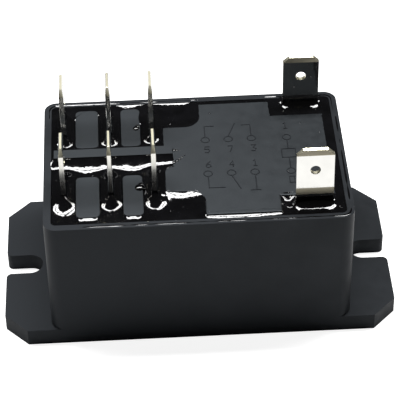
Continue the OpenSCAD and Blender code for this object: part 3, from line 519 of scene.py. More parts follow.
def smooth_by_angle(mesh):
    mesh.shade_smooth()
    mesh.set_sharp_from_angle(angle=SHARP_ANGLE)
    return mesh


def as_mesh(bm, name):
    mesh = bpy.data.meshes.new(name)
    bm.to_mesh(mesh)
    bm.free()
    return mesh


def body_of_node(node):
    """Name of the body that carries a CAD node"""
    return frame["nodes"][node].parent.name.split(":", 1)[1]


def add_piece(name, mesh, body, slot, nodes=()):
    """Puts a finished mesh in the scene: its material, its body and the nodes that it stands for"""
    piece = placed(name, mesh)
    if not mesh.materials:
        mesh.materials.append(finish_of(slot))
    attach(piece, body)
    if nodes:
        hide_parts(*nodes)
    return piece


def dress(node, slot, radius, change=None):
    """Replaces a CAD node with a rounded copy; the radius is a length or a function of an edge"""
    bm = merged_copy(node)
    if change:
        change(bm)
    radius_of = radius if callable(radius) else lambda edge: radius
    mesh = rounded_mesh(bm, radius_of, node + "_dressed")
    return add_piece(node + "_dressed", mesh, body_of_node(node), slot, (node,))


def lies_at(part, level):
    """True for an edge or a face that lies flat at a height"""
    return all(abs(vert.co.z - level) < MERGE for vert in part.verts)


# Geometry node trees


class Tree(Nodes):
    """A geometry node tree that makes a piece from a mesh"""

    def __init__(self, name, **inputs):
        group = bpy.data.node_groups.new(name, "GeometryNodeTree")
        for label, kind in {"Geometry": "Geometry", **inputs, "Material": "Material"}.items():
            group.interface.new_socket(label, in_out="INPUT", socket_type="NodeSocket" + kind)
        group.interface.new_socket("Geometry", in_out="OUTPUT", socket_type="NodeSocketGeometry")
        super().__init__(group)
        self.inputs = self.node("NodeGroupInput").outputs

    def own_radius(self):
        """The radius that each point of the mesh holds"""
        return self.node("GeometryNodeInputNamedAttribute", {"data_type": "FLOAT"}, Name="own_radius")

    def rod(self, path, sides, radius):
        """A round rod along a path, with closed ends"""
        section = self.node(
            "GeometryNodeCurvePrimitiveCircle", {"mode": "RADIUS"}, Resolution=sides, Radius=radius,
        )
        return self.node("GeometryNodeCurveToMesh", Curve=path, Profile_Curve=section, Fill_Caps=True)

    def end(self, geometry):
        """Realizes the result, sets its material and closes the tree"""
        real = self.node("GeometryNodeRealizeInstances", Geometry=geometry)
        painted = self.node("GeometryNodeSetMaterial", Geometry=real, Material=self.inputs["Material"])
        self.node("NodeGroupOutput", None, (painted,))
        return self

    def run(self, name, source, slot, **values):
        """Runs the tree on a mesh and returns the result as a plain mesh with the slot's material"""
        holder = bpy.data.objects.new(name + "_holder", source)
        modifier = holder.modifiers.new("shape", "NODES")
        modifier.node_group = self.tree
        values["Material"] = finish_of(slot)
        for item in self.tree.interface.items_tree:
            if item.in_out == "INPUT" and item.name in values:
                modifier[item.identifier] = values[item.name]
        bpy.context.scene.collection.objects.link(holder)
        mesh = evaluated_mesh(holder)
        holder.modifiers.remove(modifier)
        bpy.data.objects.remove(holder)
        mesh.name = name
        return smooth_by_angle(mesh)

    def add(self, name, source, slot, **values):
        """Adds what the tree makes from a mesh as a piece that doesn't move"""
        return add_piece(name, self.run(name, source, slot, **values), "root", slot)


# Epoxy surface: a liquid that is held at the edges of everything it wets


def outlines(node, level):
    """Closed outlines, as lists of XY points, of a CAD node's flat face at one height"""
    bm = merged_copy(node)
    flat = {face for face in bm.faces if lies_at(face, level)}
    follow = {}
    for edge in bm.edges:
        inside = [face for face in edge.link_faces if face in flat]
        if len(inside) == 1:
            loop = next(loop for loop in inside[0].loops if loop.edge == edge)
            follow[loop.vert] = loop.link_loop_next.vert
    found = []
    while follow:
        start, vert = follow.popitem()
        path = [start.co.xy.copy()]
        while vert != start:
            path.append(vert.co.xy.copy())
            vert = follow.pop(vert)
        found.append(path if turns_left(path) else path[::-1])
    bm.free()
    return sorted(found, key=spanned_area, reverse=True)


def pairs(ring):
    """Each item of a ring with the next one"""
    return zip(ring, ring[1:] + ring[:1])


def turns_left(loop):
    """True for an outline that runs anticlockwise"""
    return sum(a.cross(b) for a, b in pairs(loop)) > 0


def spans(loop):
    """Width and depth of an outline"""
    xs, ys = zip(*loop)
    return max(xs) - min(xs), max(ys) - min(ys)


def spanned_area(loop):
    return math.prod(spans(loop))


def divided(loop, step):
    """An outline with points no farther apart than the step"""
    points = []
    for a, b in pairs(loop):
        parts = max(1, math.ceil((b - a).length / step))
        points += [a.lerp(b, i / parts) for i in range(parts)]
    return points


def rings_of(loops):
    """The numbers of each outline's points when all outlines are counted in turn"""
    starts = np.cumsum([0, *map(len, loops)])
    return [list(range(start, end)) for start, end in zip(starts, starts[1:])]


def triangulate(loops, inner):
    """Triangles between the first outline and the others, with loose points in between"""
    points = [point for loop in loops for point in loop] + inner
    made = delaunay_2d_cdt(points, [], rings_of(loops), 0, 1e-9, True)
    triangles = np.array([face for face, origin in zip(made[2], made[5]) if list(origin) == [0]])
    used, triangles = np.unique(triangles, return_inverse=True)
    old_of = np.array([made[3][vert][0] for vert in used])
    return np.array([tuple(made[0][vert]) for vert in used]), triangles.reshape(-1, 3), old_of


# Spacing of the epoxy's rows of points, how far a point strays and how far it keeps from an outline,
# all as shares of the mesh size
ROW_SPACING, STRAY, CLEARANCE = math.sqrt(3) / 2, 0.12, 0.55


def inner_points(loops, step, seed):
    """Staggered points over the pool, kept clear of every outline"""
    edge_points = [point for loop in loops for point in loop]
    tree = KDTree(len(edge_points))
    for index, point in enumerate(edge_points):
        tree.insert(point.to_3d(), index)
    tree.balance()
    low_x, low_y = (min(values) for values in zip(*loops[0]))
    width, depth = spans(loops[0])
    rng = np.random.default_rng(seed)
    row_step = step * ROW_SPACING
    kept = []
    for row in range(int(depth / row_step) + 1):
        for column in range(int(width / step) + 1):
            dx, dy = rng.uniform(-STRAY, STRAY, 2) * step
            spot = Vector((low_x + (column + row % 2 / 2) * step + dx, low_y + row * row_step + dy, 0))
            if tree.find(spot)[2] > CLEARANCE * step:
                kept.append(spot.xy)
    return kept


def liquid_heights(points, triangles, held, start, level, reach, rounds=3, steps=260):
    """Heights of a liquid that is held at some points and sinks to its level over the reach.

    This is the equation of a meniscus on triangles. Steep triangles pull less, as in a real
    liquid, so it is solved a few times over, each time by conjugate gradients.
    """
    height = start.copy()
    corner = points[triangles]
    sides = [corner[:, (k + 2) % 3] - corner[:, (k + 1) % 3] for k in range(3)]
    area2 = np.abs(sides[0][:, 0] * sides[1][:, 1] - sides[0][:, 1] * sides[1][:, 0])
    total = len(points)
    mass = sum(np.bincount(triangles[:, k], area2 / 6, total) for k in range(3))
    free = ~held
    for _ in range(rounds):
        rise = height[triangles]
        slope = sum(rise[:, k, None] * sides[k][:, ::-1] * (1, -1) for k in range(3)) / area2[:, None]
        pull = reach ** 2 / np.sqrt(1 + (slope ** 2).sum(1))
        ends, weights = [], []
        for k in range(3):
            a, b = sides[(k + 1) % 3], sides[(k + 2) % 3]
            ends.append(triangles[:, [(k + 1) % 3, (k + 2) % 3]])
            weights.append(-(a * b).sum(1) / area2 / 2 * pull)
        ends, weights = np.concatenate(ends), np.concatenate(weights)

        def balance(h):
            flow = weights * (h[ends[:, 0]] - h[ends[:, 1]])
            out = mass * h
            out += np.bincount(ends[:, 0], flow, total) - np.bincount(ends[:, 1], flow, total)
            return out

        scale = mass + sum(np.bincount(ends[:, k], weights, total) for k in (0, 1))
        left = (mass * level - balance(height)) * free
        move = left / scale
        power = (left * move).sum()
        for _ in range(steps):
            pushed = balance(move) * free
            gain = power / (move * pushed).sum()
            height += gain * move
            left -= gain * pushed
            eased = left / scale
            power, before = (left * eased).sum(), power
            move = eased + power / before * move
    return height


def unevenness(x, y, scale_mm, seed):
    """Smooth noise from -1 to 1 over the part"""
    return noise.noise(Vector((x / (scale_mm * MM), y / (scale_mm * MM), seed)))


# Height, size in millimetres and extra seed of the unevenness of the level, of the held edges, of the
# heaps' fronts and of the creeping edges, which stray along X and Y
WAVES = (0.1 * MM, 5.0, 0.0)
HELD_WAVES = (0.03 * MM, 1.3, 0.0)
HEAP_WAVES = (0.12 * MM, 1.6, 5.0)
CREEP_STRAY, CREEP_SIZE, CREEP_SEEDS = 0.12 * MM, 1.1, (11.0, 23.0)


def waves(points, kind, seed):
    """The height of one kind of unevenness at each point"""
    height, size, extra = kind
    return height * np.array([unevenness(*point, size, seed + extra) for point in points])


# Places in millimetres where the epoxy stands in a lump or sinks in a pit: X, Y, rise, radius
LUMPS = (
    (-22.0, -3.0, 0.35, 0.5), (15.2, -11.8, -0.5, 0.9), (23.3, -12.4, 0.3, 0.5), (-5.2, -9.3, 0.12, 0.6),
)

# How far a lump moves the level that the epoxy seeks, for each millimetre of its own rise
LUMP_LIFT = 9

# Heaps of epoxy in front of the load tabs, of the bar and of the front coil tab's notch: first and
# last X, Y, height at the top and how softly they run out, in millimetres, and the slope at the top
HEAPS = (
    (-22.6, -22.6, -9.4, 2.15, 0.05, 0.8),
    (-14.6, -14.6, -9.4, 1.93, 0.05, 0.85),
    (-7.2, -7.2, -9.4, 1.88, 0.05, 0.85),
    (-22.6, -22.6, 6.6, 2.0, 0.04, 0.85),
    (-14.6, -14.6, 6.6, 2.0, 0.04, 0.85),
    (-7.2, -7.2, 6.6, 1.95, 0.04, 0.85),
    (-24.35, -3.8, 0.67, 1.66, 0.09, 0.6),
    (14.8, 15.4, -10.0, 1.15, 0.03, 0.95),
    (15.4, 15.6, -12.7, 0.85, 0.04, 0.95),
)


def heaped(flat, height, heap, sizes):
    """The heights with one more heap, which falls to the front, steeply at first"""
    *lengths, slope = heap
    low_x, high_x, y, rise, blend = (value * MM for value in lengths)
    aside = flat[:, 0] - np.clip(flat[:, 0], low_x, high_x)
    away = np.hypot(aside, flat[:, 1] - y) + waves(flat, HEAP_WAVES, sizes.epoxy_seed)
    away = np.minimum(away, sizes.heap_ease)
    fall = slope * away * (1 - away / (2 * sizes.heap_ease))
    over = np.logaddexp(height / blend, (sizes.epoxy_level + rise - fall) / blend) * blend
    return np.where(flat[:, 1] < y, over, height)


def outward(points):
    """Unit normals of a dense anticlockwise outline, pointing away from what it encloses"""
    normals = []
    for before, after in zip(points[-1:] + points[:-1], points[1:] + points[:1]):
        along = (after - before).normalized()
        normals.append(Vector((along.y, -along.x)))
    return normals


def softened(points, passes):
    """A dense outline with its corners eased"""
    for _ in range(passes):
        around = zip(points[-1:] + points[:-1], points, points[1:] + points[:1])
        points = [a * 0.25 + b * 0.5 + c * 0.25 for a, b, c in around]
    return points


def by_facing(normal, front, side, back):
    """A value that depends on the side that an edge faces: the front, the left or right, the back"""
    facing = side * normal.x ** 2 + (front if normal.y < 0 else back) * normal.y ** 2
    return facing * MM


def on_bar(point):
    """True beside the barrier bar, where the epoxy climbs an upright face"""
    end_x = BAR_HIGH.x if point.y < (BAR_LOW.y + BAR_HIGH.y) / 2 else PLATE_X
    return point.x < end_x + MERGE and BAR_LOW.y - MERGE < point.y < BAR_HIGH.y + MERGE


def beside_bar(point):
    """True at the end of the pocket in the plate, where the bar's meniscus runs into an upright face"""
    low = BAR_LOW.y - POCKET_START
    return abs(point.x - BAR_HIGH.x) < MERGE and low - POCKET_WIDTH < point.y < low


def edge_on_wall(points, sizes):
    """The epoxy's edge at the case walls: it rises to the back, where it covers part of the rim"""
    wall_y = max(point.y for point in points)
    edge = []
    for point, normal in zip(points, outward(softened(points, WALL_EASING))):
        back = 0.5 + 0.5 * point.y / wall_y
        height = sizes.front_wall + (sizes.back_wall - sizes.front_wall) * back
        along = math.exp(-((point.x - PLATE_MID_X) / sizes.dip_length) ** 2)
        height -= (sizes.plate_dip * back ** 4 + sizes.front_dip * (1 - back) ** 4) * along
        edge.append((point + normal * sizes.rim_wet * back, height))
    return edge


def level_at(y, sizes):
    """Height of the undisturbed epoxy, which rises a little to the back"""
    return sizes.epoxy_level + math.tan(sizes.epoxy_tilt) * y


# Spacing of the points on the epoxy's edges as a share of the mesh size, and how many times the
# corners of the wall and of the mouldings are eased
EDGE_SPACING, WALL_EASING, MOULDING_EASING = 0.8, 4, 20

# The climb at the bar's back as a share of that at its front, how much farther the epoxy climbs where
# it creeps, for each millimetre of creep, and how thick it lies on a top
BAR_BACK_SHARE = 0.62
CREEP_CLIMB = 3
CREEP_THICKNESS = 0.01 * MM


def edge_on_moulding(points, sizes, rises, creeps):
    """The epoxy's edge on raised areas: how far it climbs and then creeps over their tops"""
    soft = softened(points, MOULDING_EASING)
    middle = sum(soft, Vector((0, 0))) / len(soft)
    edge = []
    for point, eased, normal in zip(points, soft, outward(soft)):
        if on_bar(point):
            share = 1.0 if normal.y < 0 else BAR_BACK_SHARE
            edge.append((point, sizes.epoxy_level + sizes.bar_climb * share))
            continue
        if beside_bar(point):
            edge.append((point, math.nan))
            continue
        stray = Vector([unevenness(*eased, CREEP_SIZE, sizes.epoxy_seed + extra) for extra in CREEP_SEEDS])
        creep, lobe = by_facing(normal, *creeps), 0.0
        for x, y, reach, extra in LOBES:
            away = (eased - Vector((x, y)) * MM).length / (reach * MM)
            lobe += extra * MM * math.exp(-away ** 2)
        shift = stray * min(CREEP_STRAY, creep + lobe) - normal * creep
        shift += (middle - eased).normalized() * lobe
        climb = by_facing(normal, *rises) + CREEP_CLIMB * max(0.0, creep + lobe)
        height = min(level_at(eased.y, sizes) + climb, PLATE_Z + CREEP_THICKNESS)
        edge.append((eased + shift, height))
    return edge


def edge_on_tab(points, sizes):
    """The epoxy's edge on a tab: on a coil tab it climbs less at the narrow sides"""
    edge = []
    for point, normal in zip(points, outward(points)):
        fall = (1 - sizes.side_climb) * normal.x ** 2 if point.x > COIL_TABS_X else 0.0
        edge.append((point, sizes.epoxy_level + sizes.tab_climb * (1 - fall)))
    return edge


def wetted_edges(sizes):
    """The epoxy's outlines, each a list of points, and the heights at which they are held"""
    loops, heights = [], []
    for index, loop in enumerate(outlines("potting", EPOXY_FOOT_Z)):
        points = divided(loop, sizes.epoxy_mesh * EDGE_SPACING)
        if index == 0:
            edge = edge_on_wall(points, sizes)
        elif index == 1:
            edge = edge_on_moulding(points, sizes, PLATE_RISES, PLATE_CREEPS)
        elif spanned_area(loop) < TAB_AREA:
            edge = edge_on_tab(points, sizes)
        else:
            edge = edge_on_moulding(points, sizes, ISLAND_RISES, ISLAND_CREEPS)
        points, held = zip(*edge)
        loops.append(list(points))
        heights += list(held + waves(points, HELD_WAVES, sizes.epoxy_seed))
    return loops, heights


def epoxy_surface(sizes):
    """Points, triangles and outlines of the epoxy's top"""
    loops, heights = wetted_edges(sizes)
    loose = inner_points(loops, sizes.epoxy_mesh, sizes.epoxy_seed)
    flat, triangles, old_of = triangulate(loops, loose)
    known = np.array(heights + [math.nan] * len(loose))[old_of]
    held = ~np.isnan(known)
    level = level_at(flat[:, 1], sizes) + waves(flat, WAVES, sizes.epoxy_seed)
    for lump in LUMPS:
        x, y, rise, radius = (value * MM for value in lump)
        level += LUMP_LIFT * rise * np.exp(-((flat - (x, y)) ** 2).sum(1) / radius ** 2)
    start = np.where(held, known, sizes.epoxy_level)
    height = liquid_heights(flat, triangles, held, start, level, sizes.epoxy_reach)
    for heap in HEAPS:
        height = np.where(held, height, heaped(flat, height, heap, sizes))
    return flat, triangles, height, loops, old_of


def epoxy_mesh(sizes):
    """The epoxy as one closed solid under its wetted surface"""
    flat, triangles, height, loops, old_of = epoxy_surface(sizes)
    low_flat, low_triangles, low_old = triangulate(loops, [])
    first_low = len(flat)
    verts = np.vstack((np.c_[flat, height], np.c_[low_flat, np.full(len(low_flat), EPOXY_FOOT_Z)]))
    top_of = {old: new for new, old in enumerate(old_of)}
    low_of = {old: new + first_low for new, old in enumerate(low_old)}
    faces = [*triangles, *(low_triangles[:, ::-1] + first_low)]
    for ring in rings_of(loops):
        faces += [(top_of[a], low_of[a], low_of[b], top_of[b]) for a, b in pairs(ring)]
    mesh = bpy.data.meshes.new("potting_poured")
    mesh.from_pydata(verts.tolist(), [], [tuple(int(vert) for vert in face) for face in faces])
    bm = bmesh.new()
    bm.from_mesh(mesh)
    bmesh.ops.recalc_face_normals(bm, faces=bm.faces)
    bm.to_mesh(mesh)
    bm.free()
    return smooth_by_angle(mesh)


# Placed drops, specks and smears in millimetres: X, Y, radius
DROPLETS = (
    (-9.75, -7.0, 0.85), (-9.5, -6.2, 0.5), (-9.9, 9.0, 0.6), (-9.7, 9.6, 0.4), (3.28, 12.37, 0.17),
    (22.28, 5.72, 0.15), (-3.86, 10.14, 0.2), (-17.72, -2.72, 0.17), (-23.98, -4.27, 0.15),
    (-22.01, -3.09, 0.2), (15.94, -4.31, 0.12), (19.11, 8.53, 0.12),
    (-3.6, -0.75, 0.34), (-3.1, -0.35, 0.3), (-2.6, 0.1, 0.26), (-2.15, 0.6, 0.2), (-1.7, 1.1, 0.14),
    (-3.5, 2.55, 0.34), (-3.0, 2.5, 0.24), (-2.5, 2.35, 0.14),
)

# Bubbles keep this far above the epoxy's foot and below the plate, and have these shares of the
# largest radius; a drop lies on the epoxy if a point of it is this near
BUBBLE_FOOT, BUBBLE_DEPTH, BUBBLE_SHARES, NEAR = 0.3 * MM, 0.35 * MM, (0.25, 0.7), 0.2 * MM

# How tall a bubble or a drop is for its radius
DOME_FLATNESS = 0.5


def bubble_points(top, sizes):
    """Seats of the bubbles and droplets: points with a radius, on the epoxy or the plate"""
    rng = np.random.default_rng(sizes.epoxy_seed)
    co = np.array([vert.co for vert in top.vertices])
    on_top = co[co[:, 2] > EPOXY_FOOT_Z + BUBBLE_FOOT]
    low_spots = on_top[on_top[:, 2] < PLATE_Z - BUBBLE_DEPTH]
    seats = [low_spots[i] for i in rng.choice(len(low_spots), sizes.bubble_count, False)]
    radii = list(sizes.bubble_size * rng.uniform(*BUBBLE_SHARES, len(seats)))
    for x, y, radius in DROPLETS:
        spot = np.array((x, y)) * MM
        near = on_top[((on_top[:, :2] - spot) ** 2).sum(1).argmin()]
        on_epoxy = ((near[:2] - spot) ** 2).sum() < NEAR ** 2
        seats.append((*spot, near[2] if on_epoxy else PLATE_Z))
        radii.append(radius * MM)
    return mesh_with_radii("bubble_seats", seats, [], radii)


def mesh_with_radii(name, verts, edges, radii):
    """A mesh of points or edges with a radius on each point"""
    mesh = bpy.data.meshes.new(name)
    mesh.from_pydata([tuple(map(float, vert)) for vert in verts], edges, [])
    mesh.attributes.new("own_radius", "FLOAT", "POINT").data.foreach_set("value", radii)
    return mesh


def bubble_tree():
    """A small dome on every point, as large as the point's radius"""
    tree = Tree("epoxy_bubbles", Flatness="Float")
    dome = tree.node("GeometryNodeMeshIcoSphere", Radius=1.0, Subdivisions=2)
    radius = tree.own_radius()
    tall = tree.maths("MULTIPLY", radius, tree.inputs["Flatness"])
    size = tree.node("ShaderNodeCombineXYZ", None, (radius, radius, tall))
    return tree.end(tree.node(
        "GeometryNodeInstanceOnPoints", Points=tree.inputs["Geometry"], Instance=dome, Scale=size,
    ))


# Film of epoxy over the rim: the ends of its path round the front right corner and the spacing of
# its points, in millimetres, and the start and the sweep of its round back
FILM_ENDS = ((-19.5, -17.1), (26.15, 10.0))
FILM_STEP = 0.3
FILM_ARC = (math.radians(-105), math.radians(70))

# The film's usual thickness as a share, how much it varies and over how many millimetres
FILM_USUAL, FILM_CHANGE, FILM_SIZE = 0.5, 1.4, 3.0


def film_path(sizes):
    """The film's path as a mesh of edges, with a radius on every point that lets it come and go"""
    rim = divided(outlines("case", RIM_Z)[0], FILM_STEP * MM)
    ends = [Vector(end) * MM for end in FILM_ENDS]
    first, last = (min(range(len(rim)), key=lambda i, end=end: (rim[i] - end).length) for end in ends)
    along = [i % len(rim) for i in range(first, first + (last - first) % len(rim))]
    normals = outward(rim)
    verts = [(*(rim[i] - normals[i] * sizes.rim_edge), RIM_Z - sizes.rim_edge) for i in along]
    uneven = [unevenness(*rim[i], FILM_SIZE, sizes.epoxy_seed) for i in along]
    radii = [sizes.rim_edge + sizes.film * (FILM_USUAL + FILM_CHANGE * value) for value in uneven]
    return mesh_with_radii("film_path", verts, [(i, i + 1) for i in range(len(verts) - 1)], radii)


def film_tree():
    """A wedge with a round back, swept along the path; its back is the film"""
    tree = Tree("rim_film", Start="Float", Sweep="Float")
    path = tree.node("GeometryNodeMeshToCurve", Mesh=tree.inputs["Geometry"])
    upright = tree.node("GeometryNodeSetCurveNormal", {"mode": "Z_UP"}, Curve=path)
    section = tree.node(
        "GeometryNodeCurveArc", {"mode": "RADIUS"}, Resolution=24, Radius=1.0,
        Start_Angle=tree.inputs["Start"], Sweep_Angle=tree.inputs["Sweep"], Connect_Center=True,
    )
    return tree.end(tree.node(
        "GeometryNodeCurveToMesh", Curve=upright, Profile_Curve=section, Scale=tree.own_radius(),
        Fill_Caps=True,
    ))


# Wiring diagram: raised strokes in millimetres on the plate, with plain numbers


# The strokes of each number, in a field one unit wide and two high
NUMBERS = {
    "0": (((0, 0), (1, 0), (1, 2), (0, 2), (0, 0)),),
    "1": (((0.1, 1.6), (0.5, 2), (0.5, 0)), ((0.1, 0), (0.9, 0))),
    "3": (((0, 2), (1, 2), (0.4, 1.15), (1, 0.75), (0.8, 0), (0, 0.1)),),
    "4": (((0.75, 0), (0.75, 2), (0, 0.6), (1, 0.6)),),
    "5": (((1, 2), (0.1, 2), (0, 1.15), (0.8, 1.2), (1, 0.6), (0.7, 0), (0, 0.1)),),
    "6": (((0.9, 2), (0.1, 1.1), (0, 0.3), (0.5, 0), (1, 0.4), (0.8, 1), (0.1, 0.9)),),
    "7": (((0, 2), (1, 2), (0.4, 0)),),
}
NUMBER_WIDTH, NUMBER_HALF_HEIGHT = 0.85, 0.8

# Columns and rows of the contacts' rings and of the coil's
COLUMNS = (2.1, 6.15, 10.2)
UPPER_Y, LOWER_Y, COIL_COLUMN = 4.95, -4.15, 16.4
COIL_UPPER_Y, COIL_LOWER_Y = 4.8, -4.3

# Radius and parts of a ring, and sides of a stroke
RING_R, RING_PARTS, STROKE_SIDES = 0.72, 20, 10


def ring_stroke(x, y):
    turns = [2 * math.pi * i / RING_PARTS for i in range(RING_PARTS + 1)]
    return tuple((x + RING_R * math.cos(t), y + RING_R * math.sin(t)) for t in turns)


def number_strokes(figure, x, y):
    return [
        tuple((x + (u - 0.5) * NUMBER_WIDTH, y + (v - 1) * NUMBER_HALF_HEIGHT) for u, v in line)
        for line in NUMBERS[figure]
    ]


def diagram_strokes():
    """The contact and coil symbols and their numbers"""
    first, second, third = COLUMNS
    strokes = [ring_stroke(x, y) for x in COLUMNS for y in (UPPER_Y, LOWER_Y)]
    strokes += [
        ((first, UPPER_Y + RING_R), (first, 8.7), (3.8, 8.7)),
        ((second, UPPER_Y + RING_R), (7.5, 9.3)),
        ((third, UPPER_Y + RING_R), (third, 8.7), (8.6, 8.7)),
        ((first, LOWER_Y - RING_R), (first, -7.9), (4.9, -7.9)),
        ((second, LOWER_Y - RING_R), (7.5, -8.4)),
        ((third, LOWER_Y - RING_R), (third, -8.9)),
        ((9.1, -8.9), (10.9, -8.9)),
        ring_stroke(COIL_COLUMN, COIL_UPPER_Y),
        ring_stroke(COIL_COLUMN, COIL_LOWER_Y),
        ((COIL_COLUMN, COIL_UPPER_Y - RING_R), (COIL_COLUMN, 1.6)),
        ((15.2, 1.6), (17.6, 1.6), (17.6, -0.7), (15.2, -0.7), (15.2, 1.6)),
        ((COIL_COLUMN, -0.7), (COIL_COLUMN, COIL_LOWER_Y + RING_R)),
    ]
    for figures, y in (("573", 2.25), ("641", -1.75)):
        for figure, x in zip(figures, COLUMNS):
            strokes += number_strokes(figure, x + 0.2, y)
    strokes += number_strokes("1", COIL_COLUMN, 8.0)
    strokes += number_strokes("0", COIL_COLUMN, -6.6)
    return strokes


def stroke_mesh(strokes, height):
    """Strokes as a mesh of edges at one height"""
    verts, edges = [], []
    for stroke in strokes:
        start = len(verts)
        verts += [(x * MM, y * MM, height) for x, y in stroke]
        edges += [(start + i, start + i + 1) for i in range(len(stroke) - 1)]
    mesh = bpy.data.meshes.new("diagram_lines")
    mesh.from_pydata(verts, edges, [])
    return mesh


def ribbon_tree():
    """A low round rib along every line"""
    tree = Tree("raised_strokes", Width="Float")
    lines = tree.node("GeometryNodeMeshToCurve", Mesh=tree.inputs["Geometry"])
    return tree.end(tree.rod(lines, STROKE_SIDES, tree.maths("MULTIPLY", tree.inputs["Width"], 0.5)))


# Winding: one wire wound in a helix over a sleeve of the inner layers

# Sides of the wire, points to a turn of it, and sides of the sleeve
WIRE_SIDES, TURN_POINTS, SLEEVE_SIDES = 6, 36, 64


def helix_tree():
    """A wire wound round the X axis"""
    tree = Tree("coil_helix", Turns="Float", Radius="Float", Length="Float", Wire="Float", Sides="Int")
    path = tree.node(
        "GeometryNodeCurveSpiral", Resolution=TURN_POINTS, Rotations=tree.inputs["Turns"],
        Start_Radius=tree.inputs["Radius"], End_Radius=tree.inputs["Radius"], Height=tree.inputs["Length"],
    )
    wire = tree.rod(path, tree.inputs["Sides"], tree.inputs["Wire"])
    return tree.end(tree.node("GeometryNodeTransform", Geometry=wire, Rotation=(0, math.pi / 2, 0)))


def sleeve(bm, low, high, outer, inner):
    """A closed tube along X round the winding's axis"""
    mid_y, mid_z = (low.y + high.y) / 2, (low.z + high.z) / 2
    turns = [2 * math.pi * i / SLEEVE_SIDES for i in range(SLEEVE_SIDES)]
    rings = [
        [bm.verts.new((x, mid_y + radius * math.cos(t), mid_z + radius * math.sin(t))) for t in turns]
        for x, radius in ((low.x, inner), (low.x, outer), (high.x, outer), (high.x, inner))
    ]
    for ring, after in pairs(rings):
        for (a, b), (c, d) in zip(pairs(ring), pairs(after)):
            bm.faces.new((a, b, d, c))
    bmesh.ops.recalc_face_normals(bm, faces=bm.faces)


# Operators


class RELAY_OT_case(bpy.types.Operator):
    """Round the moulded case and give it black plastic"""

    bl_idname = "relay.case"
    bl_label = "Case"

    def execute(self, context):
        sizes = context.scene.relay_sizes
        wall = max(point.y for point in outlines("potting", EPOXY_FOOT_Z)[0])

        def is_outer(vert):
            return abs(vert.co.y) > wall + RIM_MARGIN or abs(vert.co.x) > RIM_END_X

        def radius_of(edge):
            if not lies_at(edge, RIM_Z):
                return sizes.case_edge
            return sizes.rim_edge if any(map(is_outer, edge.verts)) else sizes.rim_inner_edge

        dress("case", "case_plastic", radius_of)
        return {"FINISHED"}


class RELAY_OT_base(bpy.types.Operator):
    """Round the base plate with its islands and barrier bar"""

    bl_idname = "relay.base"
    bl_label = "Base plate"

    def execute(self, context):
        sizes = context.scene.relay_sizes

        def radius_of(edge):
            if not lies_at(edge, PLATE_Z):
                return sizes.bar_edge
            return sizes.plate_edge if edge.verts[0].co.x > PLATE_X - MERGE else sizes.island_edge

        dress("base", "base_plastic", radius_of)
        return {"FINISHED"}


class RELAY_OT_diagram(bpy.types.Operator):
    """Raise the wiring diagram on the plate"""

    bl_idname = "relay.diagram"
    bl_label = "Wiring diagram"

    def execute(self, context):
        lines = stroke_mesh(diagram_strokes(), PLATE_Z)
        width = context.scene.relay_sizes.mark_width
        ribbon_tree().add("wiring_diagram", lines, "case_plastic", Width=width)
        return {"FINISHED"}


class RELAY_OT_potting(bpy.types.Operator):
    """Pour the epoxy with its menisci"""

    bl_idname = "relay.potting"
    bl_label = "Epoxy"

    def execute(self, context):
        add_piece("potting_poured", epoxy_mesh(context.scene.relay_sizes), "root", "epoxy", ("potting",))
        return {"FINISHED"}


class RELAY_OT_bubbles(bpy.types.Operator):
    """Set small bubbles and droplets on the epoxy"""

    bl_idname = "relay.bubbles"
    bl_label = "Bubbles"

    def execute(self, context):
        seats = bubble_points(bpy.data.objects["potting_poured"].data, context.scene.relay_sizes)
        bubble_tree().add("epoxy_bubbles", seats, "epoxy", Flatness=DOME_FLATNESS)
        return {"FINISHED"}


class RELAY_OT_film(bpy.types.Operator):
    """Smear a film of epoxy over the rim's front and right edge"""

    bl_idname = "relay.film"
    bl_label = "Film on the rim"

    def execute(self, context):
        path = film_path(context.scene.relay_sizes)
        start, sweep = FILM_ARC
        film_tree().add("rim_film", path, "epoxy", Start=start, Sweep=sweep)
        return {"FINISHED"}


class RELAY_OT_tabs(bpy.types.Operator):
    """Round the eight tinned terminals; the front coil tab leans back a little"""

    bl_idname = "relay.tabs"
    bl_label = "Terminals"

    def execute(self, context):
        sizes, tones = context.scene.relay_sizes, context.scene.relay_finish

        def radius_of(edge):
            a, b = (vert.co for vert in edge.verts)
            is_upright = abs(a.z - b.z) > max(UPRIGHT_LENGTH, UPRIGHT_SHARE * (a - b).length)
            return sizes.tab_side if is_upright else sizes.tab_edge

        for node in LOAD_TABS + COIL_TABS:
            piece = dress(node, "tinned_brass", radius_of, lambda bm, node=node: shape_tab(bm, node, sizes))
            mark_tab(piece.data, node, sizes, tones.side_cut)
        return {"FINISHED"}


def rim_shade_band(sizes):
    """Heights between which the leaning tab is painted darker, a painted reflection of the rim"""
    return sizes.epoxy_level + sizes.rim_shade_low, sizes.epoxy_level + sizes.rim_shade_high


def shape_tab(bm, node, sizes):
    """Coins a coil tab's tip, and leans the front one back with the edges of its band of painted rim
    reflection cut in
    """
    if node in COIL_TABS:
        coin_tip(bm, sizes)
    if node == LEANING_TAB:
        for level in rim_shade_band(sizes):
            split_at(bm, level)
        for vert in bm.verts:
            vert.co.y += math.tan(sizes.coil_tab_lean) * max(0.0, vert.co.z - sizes.epoxy_level)


def split_at(bm, height):
    """Cuts the faces that cross a height, and keeps both sides"""
    bmesh.ops.bisect_plane(
        bm, geom=[*bm.verts, *bm.edges, *bm.faces], plane_co=(0, 0, height), plane_no=(0, 0, 1),
    )


